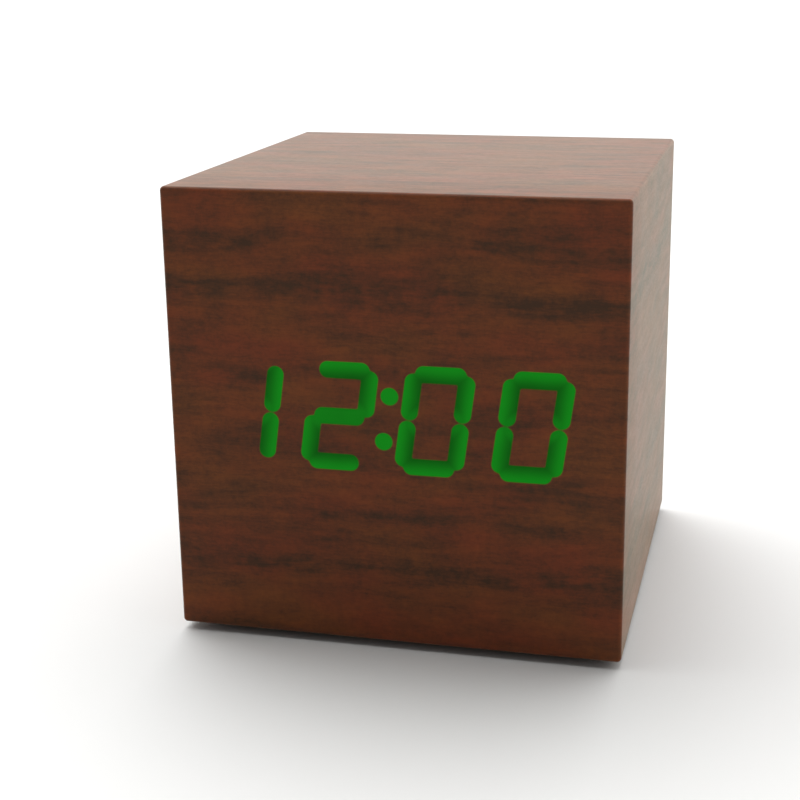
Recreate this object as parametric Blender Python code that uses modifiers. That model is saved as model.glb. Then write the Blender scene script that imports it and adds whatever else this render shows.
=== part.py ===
"""Cube alarm clock with a wood-look skin, as an assembly of separate pieces.

Metres, +Z up. The origin is on the surface that the clock stands on, under the middle of the cube. The
display faces -Y, and the buttons and the power jack face +Y.
"""

import math

import bmesh
import bpy
from mathutils import Matrix, Vector

MM = 0.001

# Clearances
TOUCH = 0.3 * MM  # between two faces that touch
THREAD_ROOM = 0.3 * MM  # round a screw's shank

# Cube
BODY_WIDTH = 62 * MM
BODY_DEPTH = 62 * MM
BODY_HEIGHT = 62 * MM
EDGE_RADIUS = 0.6 * MM
FILM = 0.5 * MM
CORE_WALL = 3.0 * MM
POST_LEG = 9.5 * MM  # legs of the triangular corner posts

# Feet
FOOT_STAND = 1.0 * MM  # height of the cube's bottom face
FOOT_DIAMETER = 8 * MM
FOOT_INSET = 6.5 * MM

# Rear cover
COVER_THICKNESS = 2.4 * MM
COVER_RECESS = 1.5 * MM
REBATE_WALL = 1.5 * MM
COVER_CORNER = 0.8 * MM
SLOT_WIDTH = 1.0 * MM
SLOT_PITCH = 2.0 * MM
COVER_SCREW_INSET = 6.7 * MM
COVER_SCREW_SHORT = 1.1 * MM  # how far the screws' tips stop short of the posts' front ends
COVER_SCREW_SINK = 1.4 * MM

# Screws
SCREW_HEAD = 4.0 * MM
SCREW_HEAD_HEIGHT = 1.1 * MM
SCREW_CROWN = 0.4 * MM
SCREW_SHANK = 1.8 * MM
SCREW_SIDES = 12
RECESS_LENGTH = 2.4 * MM  # arms of the cross drive
RECESS_WIDTH = 0.6 * MM
RECESS_DEPTH = 0.6 * MM

# Display
DISPLAY_DROP = 30.0 * MM  # the digits' middle, below the top face
DISPLAY_SHIFT = -0.6 * MM  # and beside the middle of the front
DIGIT_PITCH = 13.0 * MM
DIGIT_HEIGHT = 12.75 * MM  # between the middles of the top and bottom bars
DIGIT_WIDTH = 7.1 * MM  # between the middles of the upright bars
DIGIT_SLANT = math.radians(8)
SEGMENT_WIDTH = 1.9 * MM
SEGMENT_WALL = 0.43 * MM
COLON_SPACING = 6.3 * MM
COLON_DIAMETER = 2.0 * MM
NOSE_SIDE_WALL = 0.8 * MM
NOSE_END_WALL = 1.5 * MM
DIFFUSER = 0.3 * MM
FLANGE_THICKNESS = 3.5 * MM
FLANGE_HEIGHT = 30 * MM
BOARD = 1.6 * MM
LED_SIDE = 1.0 * MM
LED_HEIGHT = 0.6 * MM
DISPLAY_SCREW_X = 22 * MM
DISPLAY_SCREW_Z = 12 * MM
DISPLAY_SCREW_LENGTH = 7.9 * MM

# Main board
BOARD_STANDOFF = 7.6 * MM  # from the board to the rear cover
MAIN_BOARD_WIDTH = 44 * MM
MAIN_BOARD_HEIGHT = 36 * MM
MAIN_BOARD_LIFT = 2.3 * MM  # above the battery box
BOSS_DIAMETER = 5 * MM
BOSS_INSET_X = 2.5 * MM
BOSS_INSET_Z = 3.2 * MM
MAIN_SCREW_LENGTH = 6 * MM
HEADER_WIDTH = 16 * MM
HEADER_HEIGHT = 5 * MM
HEADER_DEPTH = 5 * MM
HEADER_SLOT = 2.2 * MM
RIBBON_WIDTH = 14 * MM
RIBBON_THICKNESS = 1.0 * MM
RIBBON_HUMP = 5.5 * MM
RIBBON_POINTS = 16

# Buttons
BUTTON_PITCH = 11 * MM
BUTTON_DROP = 9.5 * MM  # below the main board's top edge
BUTTON_DIAMETER = 5.6 * MM
BUTTON_FLANGE = 7.6 * MM
BUTTON_FLANGE_THICKNESS = 0.9 * MM
BUTTON_PROUD = 1.2 * MM
BUTTON_STEM = 3.4 * MM
BUTTON_TRAVEL = 0.5 * MM
SWITCH_SIDE = 6 * MM
SWITCH_HEIGHT = 3.5 * MM
PLUNGER_DIAMETER = 3.2 * MM
PLUNGER_PROUD = 1.2 * MM
PLUNGER_DEPTH = 1.6 * MM

# Parts on the main board, as places from its middle
JACK_PLACE = (12.5 * MM, -11.0 * MM)
JACK_DIAMETER = 8 * MM
JACK_BORE = 3.8 * MM
JACK_PIN = 1.3 * MM
JACK_HEIGHT = 7.0 * MM
BUZZER_PLACE = (-9.5 * MM, -5.5 * MM)
BUZZER_DIAMETER = 12 * MM
BUZZER_HEIGHT = 6.3 * MM
BUZZER_PORT = 2.6 * MM
MICROPHONE_PLACE = (2.5 * MM, -13.0 * MM)
MICROPHONE_DIAMETER = 6 * MM
MICROPHONE_HEIGHT = 4.5 * MM
MICROPHONE_PORT = 1.6 * MM
SENSOR_PLACE = (13.0 * MM, -1.5 * MM)
SENSOR_DIAMETER = 4.4 * MM
SENSOR_HEIGHT = 5.0 * MM
CHIP_PLACE = (0.0, -3.5 * MM)
CHIP_SIZE = (11 * MM, 7.5 * MM, 1.8 * MM)
CHIP_LEGS = 8
LEG_WIDTH = 0.5 * MM
LEG_REACH = 1.2 * MM
LEG_HEIGHT = 0.5 * MM
CRYSTAL_PLACE = (0.0, -12.5 * MM)
CRYSTAL_SIZE = (10.5 * MM, 4.2 * MM, 3.5 * MM)
CAPACITOR_PLACE = (13.5 * MM, 0.0)
CAPACITOR_DIAMETER = 6.3 * MM
CAPACITOR_HEIGHT = 8 * MM
HEADER_PLACE = (0.0, 12.0 * MM)
RED_PAD = (-16.0 * MM, -10.0 * MM)
BLACK_PAD = (17.0 * MM, -8.0 * MM)

# Battery box
CELL_DIAMETER = 10.4 * MM
CELL_LENGTH = 44.5 * MM
CELL_COUNT = 3
CELL_GAP = 0.4 * MM
NUB_DIAMETER = 3.8 * MM
NUB_HEIGHT = 1.2 * MM
CONTACT = 0.4 * MM
CONTACT_WIDTH = 8 * MM
CONTACT_HEIGHT = 8.4 * MM
TAB_WIDTH = 2.4 * MM
TAB_RISE = 2.0 * MM  # above the battery box
SPRING_LENGTH = 3.6 * MM
SPRING_WIRE = 0.5 * MM
SPRING_WIDE = 3.6 * MM  # radius at the plate
SPRING_NARROW = 2.4 * MM  # radius at the cell
SPRING_TURNS = 3
SPRING_POINTS = 9  # in each turn
BOX_WALL = 1.2 * MM
BOX_MIDDLE_Y = 0.9 * MM
EAR_WIDTH = 12 * MM
EAR_LENGTH = 4.6 * MM
EAR_THICKNESS = 1.5 * MM
BOX_SCREW_LENGTH = 4.4 * MM
DOOR_THICKNESS = 2.0 * MM
PIN_DIAMETER = 1.0 * MM
PIN_LENGTH = 1.2 * MM
SNAP_WIDTH = 0.8 * MM
LATCH_WIDTH = 8 * MM
LATCH_LENGTH = 6 * MM
LATCH_SLIT = 0.8 * MM
LATCH_NIB = 0.2 * MM
THUMB_RADIUS = 5 * MM
THUMB_DEPTH = 0.6 * MM
LEAD_DIAMETER = 1.2 * MM
LEAD_POINTS = 16

# Places worked out from the sizes above
BODY_BOTTOM = FOOT_STAND
BODY_TOP = BODY_BOTTOM + BODY_HEIGHT
BODY_MIDDLE = BODY_BOTTOM + BODY_HEIGHT / 2
FRONT = -BODY_DEPTH / 2
REAR = BODY_DEPTH / 2
CORE_INSET = FILM + TOUCH
CAVITY_INSET = CORE_INSET + CORE_WALL
COVER_REAR = REAR - COVER_RECESS
COVER_FRONT = COVER_REAR - COVER_THICKNESS
LEDGE = COVER_FRONT - TOUCH
BOARD_REAR = COVER_FRONT - BOARD_STANDOFF
BOARD_FRONT = BOARD_REAR - BOARD

DISPLAY_Z = BODY_TOP - DISPLAY_DROP
CORE_FRONT = FRONT + CORE_INSET
NOSE_FRONT = CORE_FRONT + DIFFUSER + TOUCH
FLANGE_FRONT = FRONT + CAVITY_INSET + TOUCH
FLANGE_REAR = FLANGE_FRONT + FLANGE_THICKNESS
DISPLAY_BOARD_FRONT = FLANGE_REAR + TOUCH
DISPLAY_BOARD_REAR = DISPLAY_BOARD_FRONT + BOARD
SLANT_SHIFT = DIGIT_HEIGHT / 2 * math.tan(DIGIT_SLANT)
NOSE_WIDTH = 3 * DIGIT_PITCH + DIGIT_WIDTH + SEGMENT_WIDTH + 2 * (SLANT_SHIFT + NOSE_SIDE_WALL)
NOSE_HEIGHT = DIGIT_HEIGHT + SEGMENT_WIDTH + 2 * NOSE_END_WALL
FLANGE_WIDTH = BODY_WIDTH - 2 * (CAVITY_INSET + TOUCH)

DOOR_TOP = BODY_BOTTOM + DOOR_THICKNESS
CELL_Z = DOOR_TOP + TOUCH + CELL_DIAMETER / 2
BOX_CEILING = CELL_Z + CELL_DIAMETER / 2 + TOUCH
BOX_TOP = BOX_CEILING + BOX_WALL
CELL_PITCH = CELL_DIAMETER + CELL_GAP
BOX_INNER_LENGTH = CELL_LENGTH + SPRING_LENGTH + 2 * CONTACT + 5 * TOUCH
BOX_INNER_DEPTH = CELL_COUNT * CELL_PITCH - CELL_GAP + 2 * TOUCH
BOX_INNER_FRONT = BOX_MIDDLE_Y - BOX_INNER_DEPTH / 2
BOX_INNER_REAR = BOX_MIDDLE_Y + BOX_INNER_DEPTH / 2
HINGE_Y = BOX_INNER_FRONT + TOUCH + DOOR_THICKNESS / 2
HINGE_Z = BODY_BOTTOM + DOOR_THICKNESS / 2
DOOR_REACH = BOX_INNER_REAR - TOUCH - HINGE_Y
EAR_BOTTOM = BODY_BOTTOM + CAVITY_INSET + TOUCH
EAR_TOP = EAR_BOTTOM + EAR_THICKNESS
POST_FRONT = max(BOARD_REAR, BOX_INNER_REAR + BOX_WALL) + TOUCH  # the posts clear the board and the box
COVER_SCREW_SEAT = COVER_REAR - COVER_SCREW_SINK + TOUCH

MAIN_BOARD_BOTTOM = BOX_TOP + MAIN_BOARD_LIFT
MAIN_BOARD_Z = MAIN_BOARD_BOTTOM + MAIN_BOARD_HEIGHT / 2
BUTTON_Z = MAIN_BOARD_BOTTOM + MAIN_BOARD_HEIGHT - BUTTON_DROP
PLUNGER_TIP = BOARD_REAR + TOUCH + SWITCH_HEIGHT + PLUNGER_PROUD

FACING_REAR = (-math.pi / 2, 0, 0)  # turns +Z to +Y
FACING_FRONT = (math.pi / 2, 0, 0)  # turns +Z to -Y
FACING_RIGHT = (0, math.pi / 2, 0)  # turns +Z to +X
FACING_LEFT = (0, -math.pi / 2, 0)  # turns +Z to -X
UPRIGHT = (math.pi / 2, 0, 0)  # stands an XY outline in the XZ plane
SIDEWAYS = (math.pi / 2, 0, math.pi / 2)  # stands an XY outline in the YZ plane
FILL_SLANT = math.radians(17)

for old in list(bpy.data.objects):
    bpy.data.objects.remove(old, do_unlink=True)
PIECES = bpy.data.collections.new("cube_alarm_clock")
CUTTERS = bpy.data.collections.new("cutters")
for collection in (PIECES, CUTTERS):
    bpy.context.scene.collection.children.link(collection)


def finish(name, color, roughness, metallic=0.0):
    """A plain Principled material."""
    material = bpy.data.materials.new(name)
    material.use_nodes = True
    shader = material.node_tree.nodes["Principled BSDF"]
    shader.inputs["Base Color"].default_value = (*color, 1)
    shader.inputs["Roughness"].default_value = roughness
    shader.inputs["Metallic"].default_value = metallic
    material.diffuse_color = (*color, 1)
    return material


def piece(name, data, material, location=(0, 0, 0), rotation=(0, 0, 0)):
    """One named piece of the clock."""
    data.materials.clear()
    data.materials.append(material)
    obj = bpy.data.objects.new(name, data)
    obj.location = location
    obj.rotation_euler = rotation
    PIECES.objects.link(obj)
    return obj


def cutter(name, data, location=(0, 0, 0), rotation=(0, 0, 0)):
    """A helper solid that is cut from a piece or joined to it, and isn't a piece itself."""
    obj = bpy.data.objects.new(name, data)
    obj.location = location
    obj.rotation_euler = rotation
    obj.hide_render = True
    obj.display_type = "WIRE"
    CUTTERS.objects.link(obj)
    return obj


def boolean(obj, tool, operation="DIFFERENCE"):
    modifier = obj.modifiers.new(tool.name, "BOOLEAN")
    modifier.operation = operation
    modifier.object = tool


def mesh_from(name, shapes):
    """A mesh that holds what each of the shapes adds to one bmesh."""
    mesh = bpy.data.meshes.new(name)
    work = bmesh.new()
    for shape in shapes:
        shape(work)
    work.to_mesh(mesh)
    work.free()
    return mesh


def box_shape(low, high):
    """Adds a box between two corners."""
    middle = (Vector(low) + Vector(high)) / 2
    size = Vector(high) - Vector(low)
    matrix = Matrix.LocRotScale(middle, None, size)
    return lambda work: bmesh.ops.create_cube(work, size=1, matrix=matrix)


def box(name, low, high):
    return mesh_from(name, [box_shape(low, high)])


def rod_shape(radius, length, matrix=Matrix(), sides=24):
    """Adds a cylinder along Z, centred where the matrix puts it."""
    return lambda work: bmesh.ops.create_cone(
        work, cap_ends=True, segments=sides, radius1=radius, radius2=radius, depth=length, matrix=matrix
    )


def rods(name, places, radius, length, sides=16):
    """Rods along Y, centred on the given points, as one mesh."""
    turn = Matrix.Rotation(-math.pi / 2, 4, "X")
    return mesh_from(
        name, [rod_shape(radius, length, Matrix.Translation(place) @ turn, sides) for place in places]
    )


def turned_piece(name, profile, material, location, rotation, sides=20):
    """A piece turned about its own Z axis. Its profile's (radius, height) points start at the axis's top."""
    points = [(radius, 0, height) for radius, height in profile]
    mesh = bpy.data.meshes.new(name)
    mesh.from_pydata(points, [(i, i + 1) for i in range(len(points) - 1)], [])
    obj = piece(name, mesh, material, location, rotation)
    turn = obj.modifiers.new("Turn", "SCREW")
    turn.steps = sides
    turn.render_steps = sides
    turn.use_merge_vertices = True
    turn.merge_threshold = 0.00001
    return obj


def arc(center, radius, start, end, steps):
    """Points of an arc, with both its ends. Angles in radians."""
    return [
        (center[0] + radius * math.cos(angle), center[1] + radius * math.sin(angle))
        for angle in (start + (end - start) * i / steps for i in range(steps + 1))
    ]


def circle(center, radius, sides=16):
    return arc(center, radius, 0, 2 * math.pi, sides)[:-1]


def stadium(start, end, radius, steps=4):
    """A bar with round ends, as a closed outline round the line from start to end."""
    along = math.atan2(end[1] - start[1], end[0] - start[0])
    half = math.pi / 2
    return arc(end, radius, along - half, along + half, steps) + arc(
        start, radius, along + half, along + 3 * half, steps
    )


def rectangle(width, height, center=(0, 0)):
    x, y = width / 2, height / 2
    return [(center[0] + sx * x, center[1] + sy * y) for sx, sy in ((-1, -1), (1, -1), (1, 1), (-1, 1))]


def rounded(width, height, radius, steps=4):
    """A rectangle with round corners."""
    x, y = width / 2 - radius, height / 2 - radius
    corners = ((x, -y, -90), (x, y, 0), (-x, y, 90), (-x, -y, 180))
    points = []
    for cx, cy, start in corners:
        points += arc((cx, cy), radius, math.radians(start), math.radians(start + 90), steps)
    return points


def outline(name, loops, thickness):
    """A flat plate in XY, centred on its mid-plane: the first loop is its edge, and the others are holes."""
    curve = bpy.data.curves.new(name, "CURVE")
    curve.dimensions = "2D"
    curve.fill_mode = "BOTH"
    curve.extrude = thickness / 2
    for loop in loops:
        spline = curve.splines.new("POLY")
        spline.points.add(len(loop) - 1)
        for point, (x, y) in zip(spline.points, loop):
            point.co = (x, y, 0, 1)
        spline.use_cyclic_u = True
    return curve


def solid_outline(name, loops, thickness):
    """The same plate as a mesh to cut. Filled at a slant, because level rows of holes spoil the fill."""
    sine, cosine = math.sin(FILL_SLANT), math.cos(FILL_SLANT)
    slanted = [[(x * cosine - y * sine, x * sine + y * cosine) for x, y in loop] for loop in loops]
    curve = outline(name, slanted, thickness)
    holder = bpy.data.objects.new(name, curve)
    bpy.context.scene.collection.objects.link(holder)
    bpy.context.view_layer.update()
    graph = bpy.context.evaluated_depsgraph_get()
    mesh = bpy.data.meshes.new_from_object(holder.evaluated_get(graph))
    bpy.data.objects.remove(holder)
    bpy.data.curves.remove(curve)
    mesh.name = name
    mesh.transform(Matrix.Rotation(-FILL_SLANT, 4, "Z"))
    work = bmesh.new()
    work.from_mesh(mesh)
    bmesh.ops.remove_doubles(work, verts=work.verts, dist=0.000001)
    work.to_mesh(mesh)
    work.free()
    return mesh


def tube(name, points, diameter, material):
    """A wire along the points."""
    curve = bpy.data.curves.new(name, "CURVE")
    curve.dimensions = "3D"
    curve.bevel_depth = diameter / 2
    curve.bevel_resolution = 2
    curve.use_fill_caps = True
    spline = curve.splines.new("POLY")
    spline.points.add(len(points) - 1)
    for point, place in zip(spline.points, points):
        point.co = (*place, 1)
    return piece(name, curve, material)


def bezier(corners, count):
    """Points along the smooth curve that four control points give."""
    a, b, c, d = (Vector(corner) for corner in corners)
    steps = [i / (count - 1) for i in range(count)]
    return [
        (1 - t) ** 3 * a + 3 * (1 - t) ** 2 * t * b + 3 * (1 - t) * t**2 * c + t**3 * d for t in steps
    ]


def smooth(obj, angle=30):
    obj.data.shade_smooth()
    obj.data.set_sharp_from_angle(angle=math.radians(angle))


def inset_box(name, inset, front, rear):
    """A box that stays this far inside the cube's sides, top and bottom, from front to rear in Y."""
    half = BODY_WIDTH / 2 - inset
    return box(name, (-half, front, BODY_BOTTOM + inset), (half, rear, BODY_TOP - inset))


def opening_for_battery_box(name):
    room = TOUCH + BOX_WALL
    half = BOX_INNER_LENGTH / 2 + room
    return cutter(
        name,
        box(
            name,
            (-half, BOX_INNER_FRONT - room, -CORE_WALL),
            (half, BOX_INNER_REAR + room, BODY_BOTTOM + CAVITY_INSET + TOUCH),
        ),
    )


def display_screw_places(y):
    return [
        (sx * DISPLAY_SCREW_X, y, DISPLAY_Z + sz * DISPLAY_SCREW_Z) for sx in (-1, 1) for sz in (-1, 1)
    ]


def cover_screw_places(y):
    x = BODY_WIDTH / 2 - COVER_SCREW_INSET
    z = BODY_HEIGHT / 2 - COVER_SCREW_INSET
    return [(sx * x, y, BODY_MIDDLE + sz * z) for sx in (-1, 1) for sz in (-1, 1)]


def board_screw_places(y):
    x = MAIN_BOARD_WIDTH / 2 - BOSS_INSET_X
    z = MAIN_BOARD_HEIGHT / 2 - BOSS_INSET_Z
    return [(sx * x, y, MAIN_BOARD_Z + sz * z) for sx in (-1, 1) for sz in (-1, 1)]


def box_screw_places(z):
    outside = BOX_WALL + EAR_LENGTH / 2
    return [(0, BOX_INNER_FRONT - outside, z), (0, BOX_INNER_REAR + outside, z)]


def button_places():
    """Seen from behind, set is on the left."""
    return {"set": BUTTON_PITCH, "up": 0.0, "down": -BUTTON_PITCH}


def screw_mesh(name, length):
    """A screw along Z, its head above 0 and its shank below. The drive is a cross."""
    head, shank = SCREW_HEAD / 2, SCREW_SHANK / 2
    top, crown = SCREW_HEAD_HEIGHT, SCREW_CROWN
    profile = [(0, top), (head - crown, top), (head, top - crown), (head, 0)]
    profile += [(shank, 0), (shank, -length), (0, -length)]
    holder = turned_piece(
        name,
        profile,
        METAL,
        (0, 0, 0),
        (0, 0, 0),
        SCREW_SIDES,
    )
    long, wide = RECESS_LENGTH / 2, RECESS_WIDTH / 2
    for arm, x, y in (("across", long, wide), ("along", wide, long)):
        slot = f"{name}_drive_{arm}"
        boolean(holder, cutter(slot, box(slot, (-x, -y, top - RECESS_DEPTH), (x, y, 2 * top))))
    bpy.context.view_layer.update()
    graph = bpy.context.evaluated_depsgraph_get()
    mesh = bpy.data.meshes.new_from_object(holder.evaluated_get(graph))
    bpy.data.objects.remove(holder)
    return mesh


def screws(name, length, places, rotation):
    mesh = screw_mesh(name, length)
    for number, place in enumerate(places, 1):
        obj = piece(f"{name}_{number}", mesh, METAL, place, rotation)
        smooth(obj)


FIBREBOARD = finish("fibreboard", (0.36, 0.25, 0.15), 0.85)
WOOD_FILM = finish("wood_film", (0.075, 0.027, 0.013), 0.45)
BLACK_PLASTIC = finish("black_plastic", (0.02, 0.02, 0.022), 0.5)
WHITE_PLASTIC = finish("white_plastic", (0.8, 0.8, 0.78), 0.5)
CLEAR_FILM = finish("diffuser_sheet", (0.85, 0.87, 0.85), 0.6)
CIRCUIT_BOARD = finish("circuit_board", (0.02, 0.12, 0.05), 0.4)
METAL = finish("plated_steel", (0.6, 0.6, 0.6), 0.3, 1.0)
CELL_JACKET = finish("cell_jacket", (0.05, 0.06, 0.08), 0.35)
GREY_RIBBON = finish("grey_ribbon", (0.45, 0.46, 0.48), 0.6)
RED_WIRE = finish("red_wire", (0.5, 0.02, 0.02), 0.5)
BLACK_WIRE = finish("black_wire", (0.02, 0.02, 0.02), 0.5)
RUBBER = finish("rubber", (0.03, 0.03, 0.03), 0.9)


def case_core():
    """Fibreboard cube, open at the back, with triangular posts for the cover's screws in its rear corners."""
    core = piece("case_core", inset_box("case_core", CORE_INSET, CORE_FRONT, REAR), FIBREBOARD)
    cavity = inset_box("core_cavity", CAVITY_INSET, FRONT + CAVITY_INSET, LEDGE + TOUCH)
    boolean(core, cutter("core_cavity", cavity))
    rebate = inset_box("core_rebate", CORE_INSET + REBATE_WALL, LEDGE, REAR + FILM)
    boolean(core, cutter("core_rebate", rebate))

    half_x, half_z = BODY_WIDTH / 2 - CAVITY_INSET, BODY_HEIGHT / 2 - CAVITY_INSET
    root = CORE_WALL / 2  # how far the posts reach into the walls
    triangles = [
        [
            (sx * (half_x + root), sz * (half_z + root)),
            (sx * (half_x - POST_LEG), sz * (half_z + root)),
            (sx * (half_x - POST_LEG), sz * half_z),
            (sx * half_x, sz * (half_z - POST_LEG)),
            (sx * (half_x + root), sz * (half_z - POST_LEG)),
        ]
        for sx in (-1, 1)
        for sz in (-1, 1)
    ]
    posts = solid_outline("core_posts", triangles, LEDGE - POST_FRONT)
    place = (0, (LEDGE + POST_FRONT) / 2, BODY_MIDDLE)
    boolean(core, cutter("core_posts", posts, place, UPRIGHT), "UNION")

    pilot = SCREW_SHANK / 2 + THREAD_ROOM
    holes = rods("cover_pilots", cover_screw_places(LEDGE), pilot, 2 * (LEDGE - POST_FRONT) + TOUCH)
    boolean(core, cutter("cover_pilots", holes))
    blind = CORE_WALL - 2 * TOUCH
    holes = rods("display_pilots", display_screw_places(FRONT + CAVITY_INSET), pilot, 2 * blind)
    boolean(core, cutter("display_pilots", holes))
    holes = mesh_from(
        "box_pilots",
        [
            rod_shape(pilot, 2 * blind, Matrix.Translation(place), 16)
            for place in box_screw_places(BODY_BOTTOM + CAVITY_INSET)
        ],
    )
    boolean(core, cutter("box_pilots", holes))

    half_x, half_z = NOSE_WIDTH / 2 + TOUCH, NOSE_HEIGHT / 2 + TOUCH
    window = box(
        "display_window",
        (DISPLAY_SHIFT - half_x, FRONT, DISPLAY_Z - half_z),
        (DISPLAY_SHIFT + half_x, FRONT + CAVITY_INSET + TOUCH, DISPLAY_Z + half_z),
    )
    boolean(core, cutter("display_window", window))
    boolean(core, opening_for_battery_box("core_battery_opening"))


def woodgrain_wrap():
    """Film over the front, the sides, the top and the bottom, folded round softened edges."""
    mesh = inset_box("woodgrain_wrap", 0, FRONT, REAR)
    work = bmesh.new()
    work.from_mesh(mesh)
    edges = [edge for edge in work.edges if min(vert.co.y for vert in edge.verts) < 0]
    bmesh.ops.bevel(
        work, geom=edges, offset=EDGE_RADIUS, segments=3, profile=0.5, affect="EDGES", clamp_overlap=True
    )
    work.to_mesh(mesh)
    work.free()
    wrap = piece("woodgrain_wrap", mesh, WOOD_FILM)
    boolean(wrap, cutter("wrap_inside", inset_box("wrap_inside", FILM, FRONT + FILM, REAR + FILM)))
    boolean(wrap, opening_for_battery_box("wrap_battery_opening"))
    smooth(wrap)


def slots(place, drop, radius, rows):
    """Level slots in a round group, over a part that stands on the main board at this place."""
    loops = []
    for row in range(rows):
        level = (row - (rows - 1) / 2) * SLOT_PITCH
        reach = math.sqrt(radius**2 - level**2) - SLOT_WIDTH
        x, z = place[0], drop + place[1] + level
        loops.append(stadium((x - reach, z), (x + reach, z), SLOT_WIDTH / 2, 3))
    return loops


def rear_cover():
    """Plate that screws to the corner posts and carries the main board on four tubes."""
    inset = CORE_INSET + REBATE_WALL + TOUCH
    loops = [rounded(BODY_WIDTH - 2 * inset, BODY_HEIGHT - 2 * inset, COVER_CORNER)]
    mid_y = (COVER_FRONT + COVER_REAR) / 2
    through = SCREW_SHANK / 2 + THREAD_ROOM
    loops += [circle((x, z - BODY_MIDDLE), through) for x, _, z in cover_screw_places(0)]
    loops += [
        circle((x, BUTTON_Z - BODY_MIDDLE), BUTTON_DIAMETER / 2 + TOUCH) for x in button_places().values()
    ]
    drop = MAIN_BOARD_Z - BODY_MIDDLE
    loops.append(circle((JACK_PLACE[0], drop + JACK_PLACE[1]), JACK_BORE / 2 + 2 * TOUCH))
    loops.append(circle((MICROPHONE_PLACE[0], drop + MICROPHONE_PLACE[1]), MICROPHONE_PORT / 2, 12))
    loops += slots(BUZZER_PLACE, drop, BUZZER_DIAMETER / 2, 5)
    loops += slots(SENSOR_PLACE, drop, SENSOR_DIAMETER / 2 + 2 * SLOT_WIDTH, 3)
    mesh = solid_outline("rear_cover", loops, COVER_THICKNESS)
    cover = piece("rear_cover", mesh, BLACK_PLASTIC, (0, mid_y, BODY_MIDDLE), UPRIGHT)

    sink = SCREW_HEAD / 2 + TOUCH
    holes = rods("cover_counterbores", cover_screw_places(COVER_REAR), sink, 2 * COVER_SCREW_SINK)
    boolean(cover, cutter("cover_counterbores", holes))
    front = BOARD_REAR + TOUCH
    root = COVER_THICKNESS / 2
    length = COVER_FRONT + root - front
    tubes = rods("cover_tubes", board_screw_places(front + length / 2), BOSS_DIAMETER / 2, length, 14)
    boolean(cover, cutter("cover_tubes", tubes), "UNION")
    depth = MAIN_SCREW_LENGTH - BOARD
    holes = rods("cover_tube_bores", board_screw_places(front), SCREW_SHANK / 2 + THREAD_ROOM, 2 * depth, 12)
    boolean(cover, cutter("cover_tube_bores", holes))
    length = COVER_SCREW_SEAT - POST_FRONT - COVER_SCREW_SHORT
    screws("rear_cover_screw", length, cover_screw_places(COVER_SCREW_SEAT), FACING_REAR)


def digit_segments():
    """Each segment's middle line, as two points from the middle of the display, and the colon's two dots."""
    x, z = DIGIT_WIDTH / 2, DIGIT_HEIGHT / 2
    inset = (SEGMENT_WIDTH + SEGMENT_WALL) / math.sqrt(2)
    bars = [((inset - x, h), (x - inset, h)) for h in (z, 0, -z)]
    bars += [
        ((side, level + inset), (side, level + z - inset)) for side in (-x, x) for level in (0, -z)
    ]
    lean = math.tan(DIGIT_SLANT)
    segments = [
        tuple((px + pz * lean + (digit - 1.5) * DIGIT_PITCH, pz) for px, pz in bar)
        for digit in range(4)
        for bar in bars
    ]
    dots = [(level * lean, level) for level in (COLON_SPACING / 2, -COLON_SPACING / 2)]
    return segments, dots


def display():
    """Light box, diffuser and board, clamped to the inside of the front wall."""
    segments, dots = digit_segments()
    shift = DISPLAY_SHIFT
    channels = [
        stadium((a[0] + shift, a[1]), (b[0] + shift, b[1]), SEGMENT_WIDTH / 2) for a, b in segments
    ]
    channels += [circle((x + shift, z), COLON_DIAMETER / 2, 12) for x, z in dots]
    bore = SCREW_SHANK / 2 + THREAD_ROOM
    screw_holes = [circle((x, z - DISPLAY_Z), bore, 12) for x, _, z in display_screw_places(0)]
    edge = rectangle(FLANGE_WIDTH, FLANGE_HEIGHT)
    mesh = solid_outline("segment_block", [edge] + channels + screw_holes, FLANGE_REAR - NOSE_FRONT)
    place = (0, (NOSE_FRONT + FLANGE_REAR) / 2, DISPLAY_Z)
    block = piece("segment_block", mesh, WHITE_PLASTIC, place, UPRIGHT)
    step = [
        rectangle(FLANGE_WIDTH + CORE_WALL, FLANGE_HEIGHT + CORE_WALL),
        rectangle(NOSE_WIDTH, NOSE_HEIGHT, (shift, 0)),
    ]
    depth = 2 * (FLANGE_FRONT - NOSE_FRONT)
    ring = solid_outline("block_step", step, depth)
    boolean(block, cutter("block_step", ring, (0, FLANGE_FRONT - depth / 2, DISPLAY_Z), UPRIGHT))

    sheet = outline("diffuser_film", [rectangle(NOSE_WIDTH, NOSE_HEIGHT)], DIFFUSER)
    piece("diffuser_film", sheet, CLEAR_FILM, (shift, CORE_FRONT + DIFFUSER / 2, DISPLAY_Z), UPRIGHT)

    mesh = solid_outline("display_board", [edge] + screw_holes, BOARD)
    place = (0, (DISPLAY_BOARD_FRONT + DISPLAY_BOARD_REAR) / 2, DISPLAY_Z)
    board = piece("display_board", mesh, CIRCUIT_BOARD, place, UPRIGHT)
    middles = [((a[0] + b[0]) / 2, (a[1] + b[1]) / 2) for a, b in segments] + dots
    half = LED_SIDE / 2
    chips = [
        box_shape(
            (shift + x - half, DISPLAY_BOARD_FRONT - LED_HEIGHT, DISPLAY_Z + z - half),
            (shift + x + half, DISPLAY_BOARD_FRONT + BOARD / 2, DISPLAY_Z + z + half),
        )
        for x, z in middles
    ]
    boolean(board, cutter("led_chips", mesh_from("led_chips", chips)), "UNION")
    places = display_screw_places(DISPLAY_BOARD_REAR + TOUCH)
    screws("display_board_screw", DISPLAY_SCREW_LENGTH, places, FACING_REAR)

    header("display_header", HEADER_PLACE[0], DISPLAY_BOARD_REAR + TOUCH, ribbon_z(), 1)
    chip("led_driver_chip", (CHIP_PLACE[0], DISPLAY_BOARD_REAR + TOUCH, DISPLAY_Z - CHIP_SIZE[1]), 1)


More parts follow.
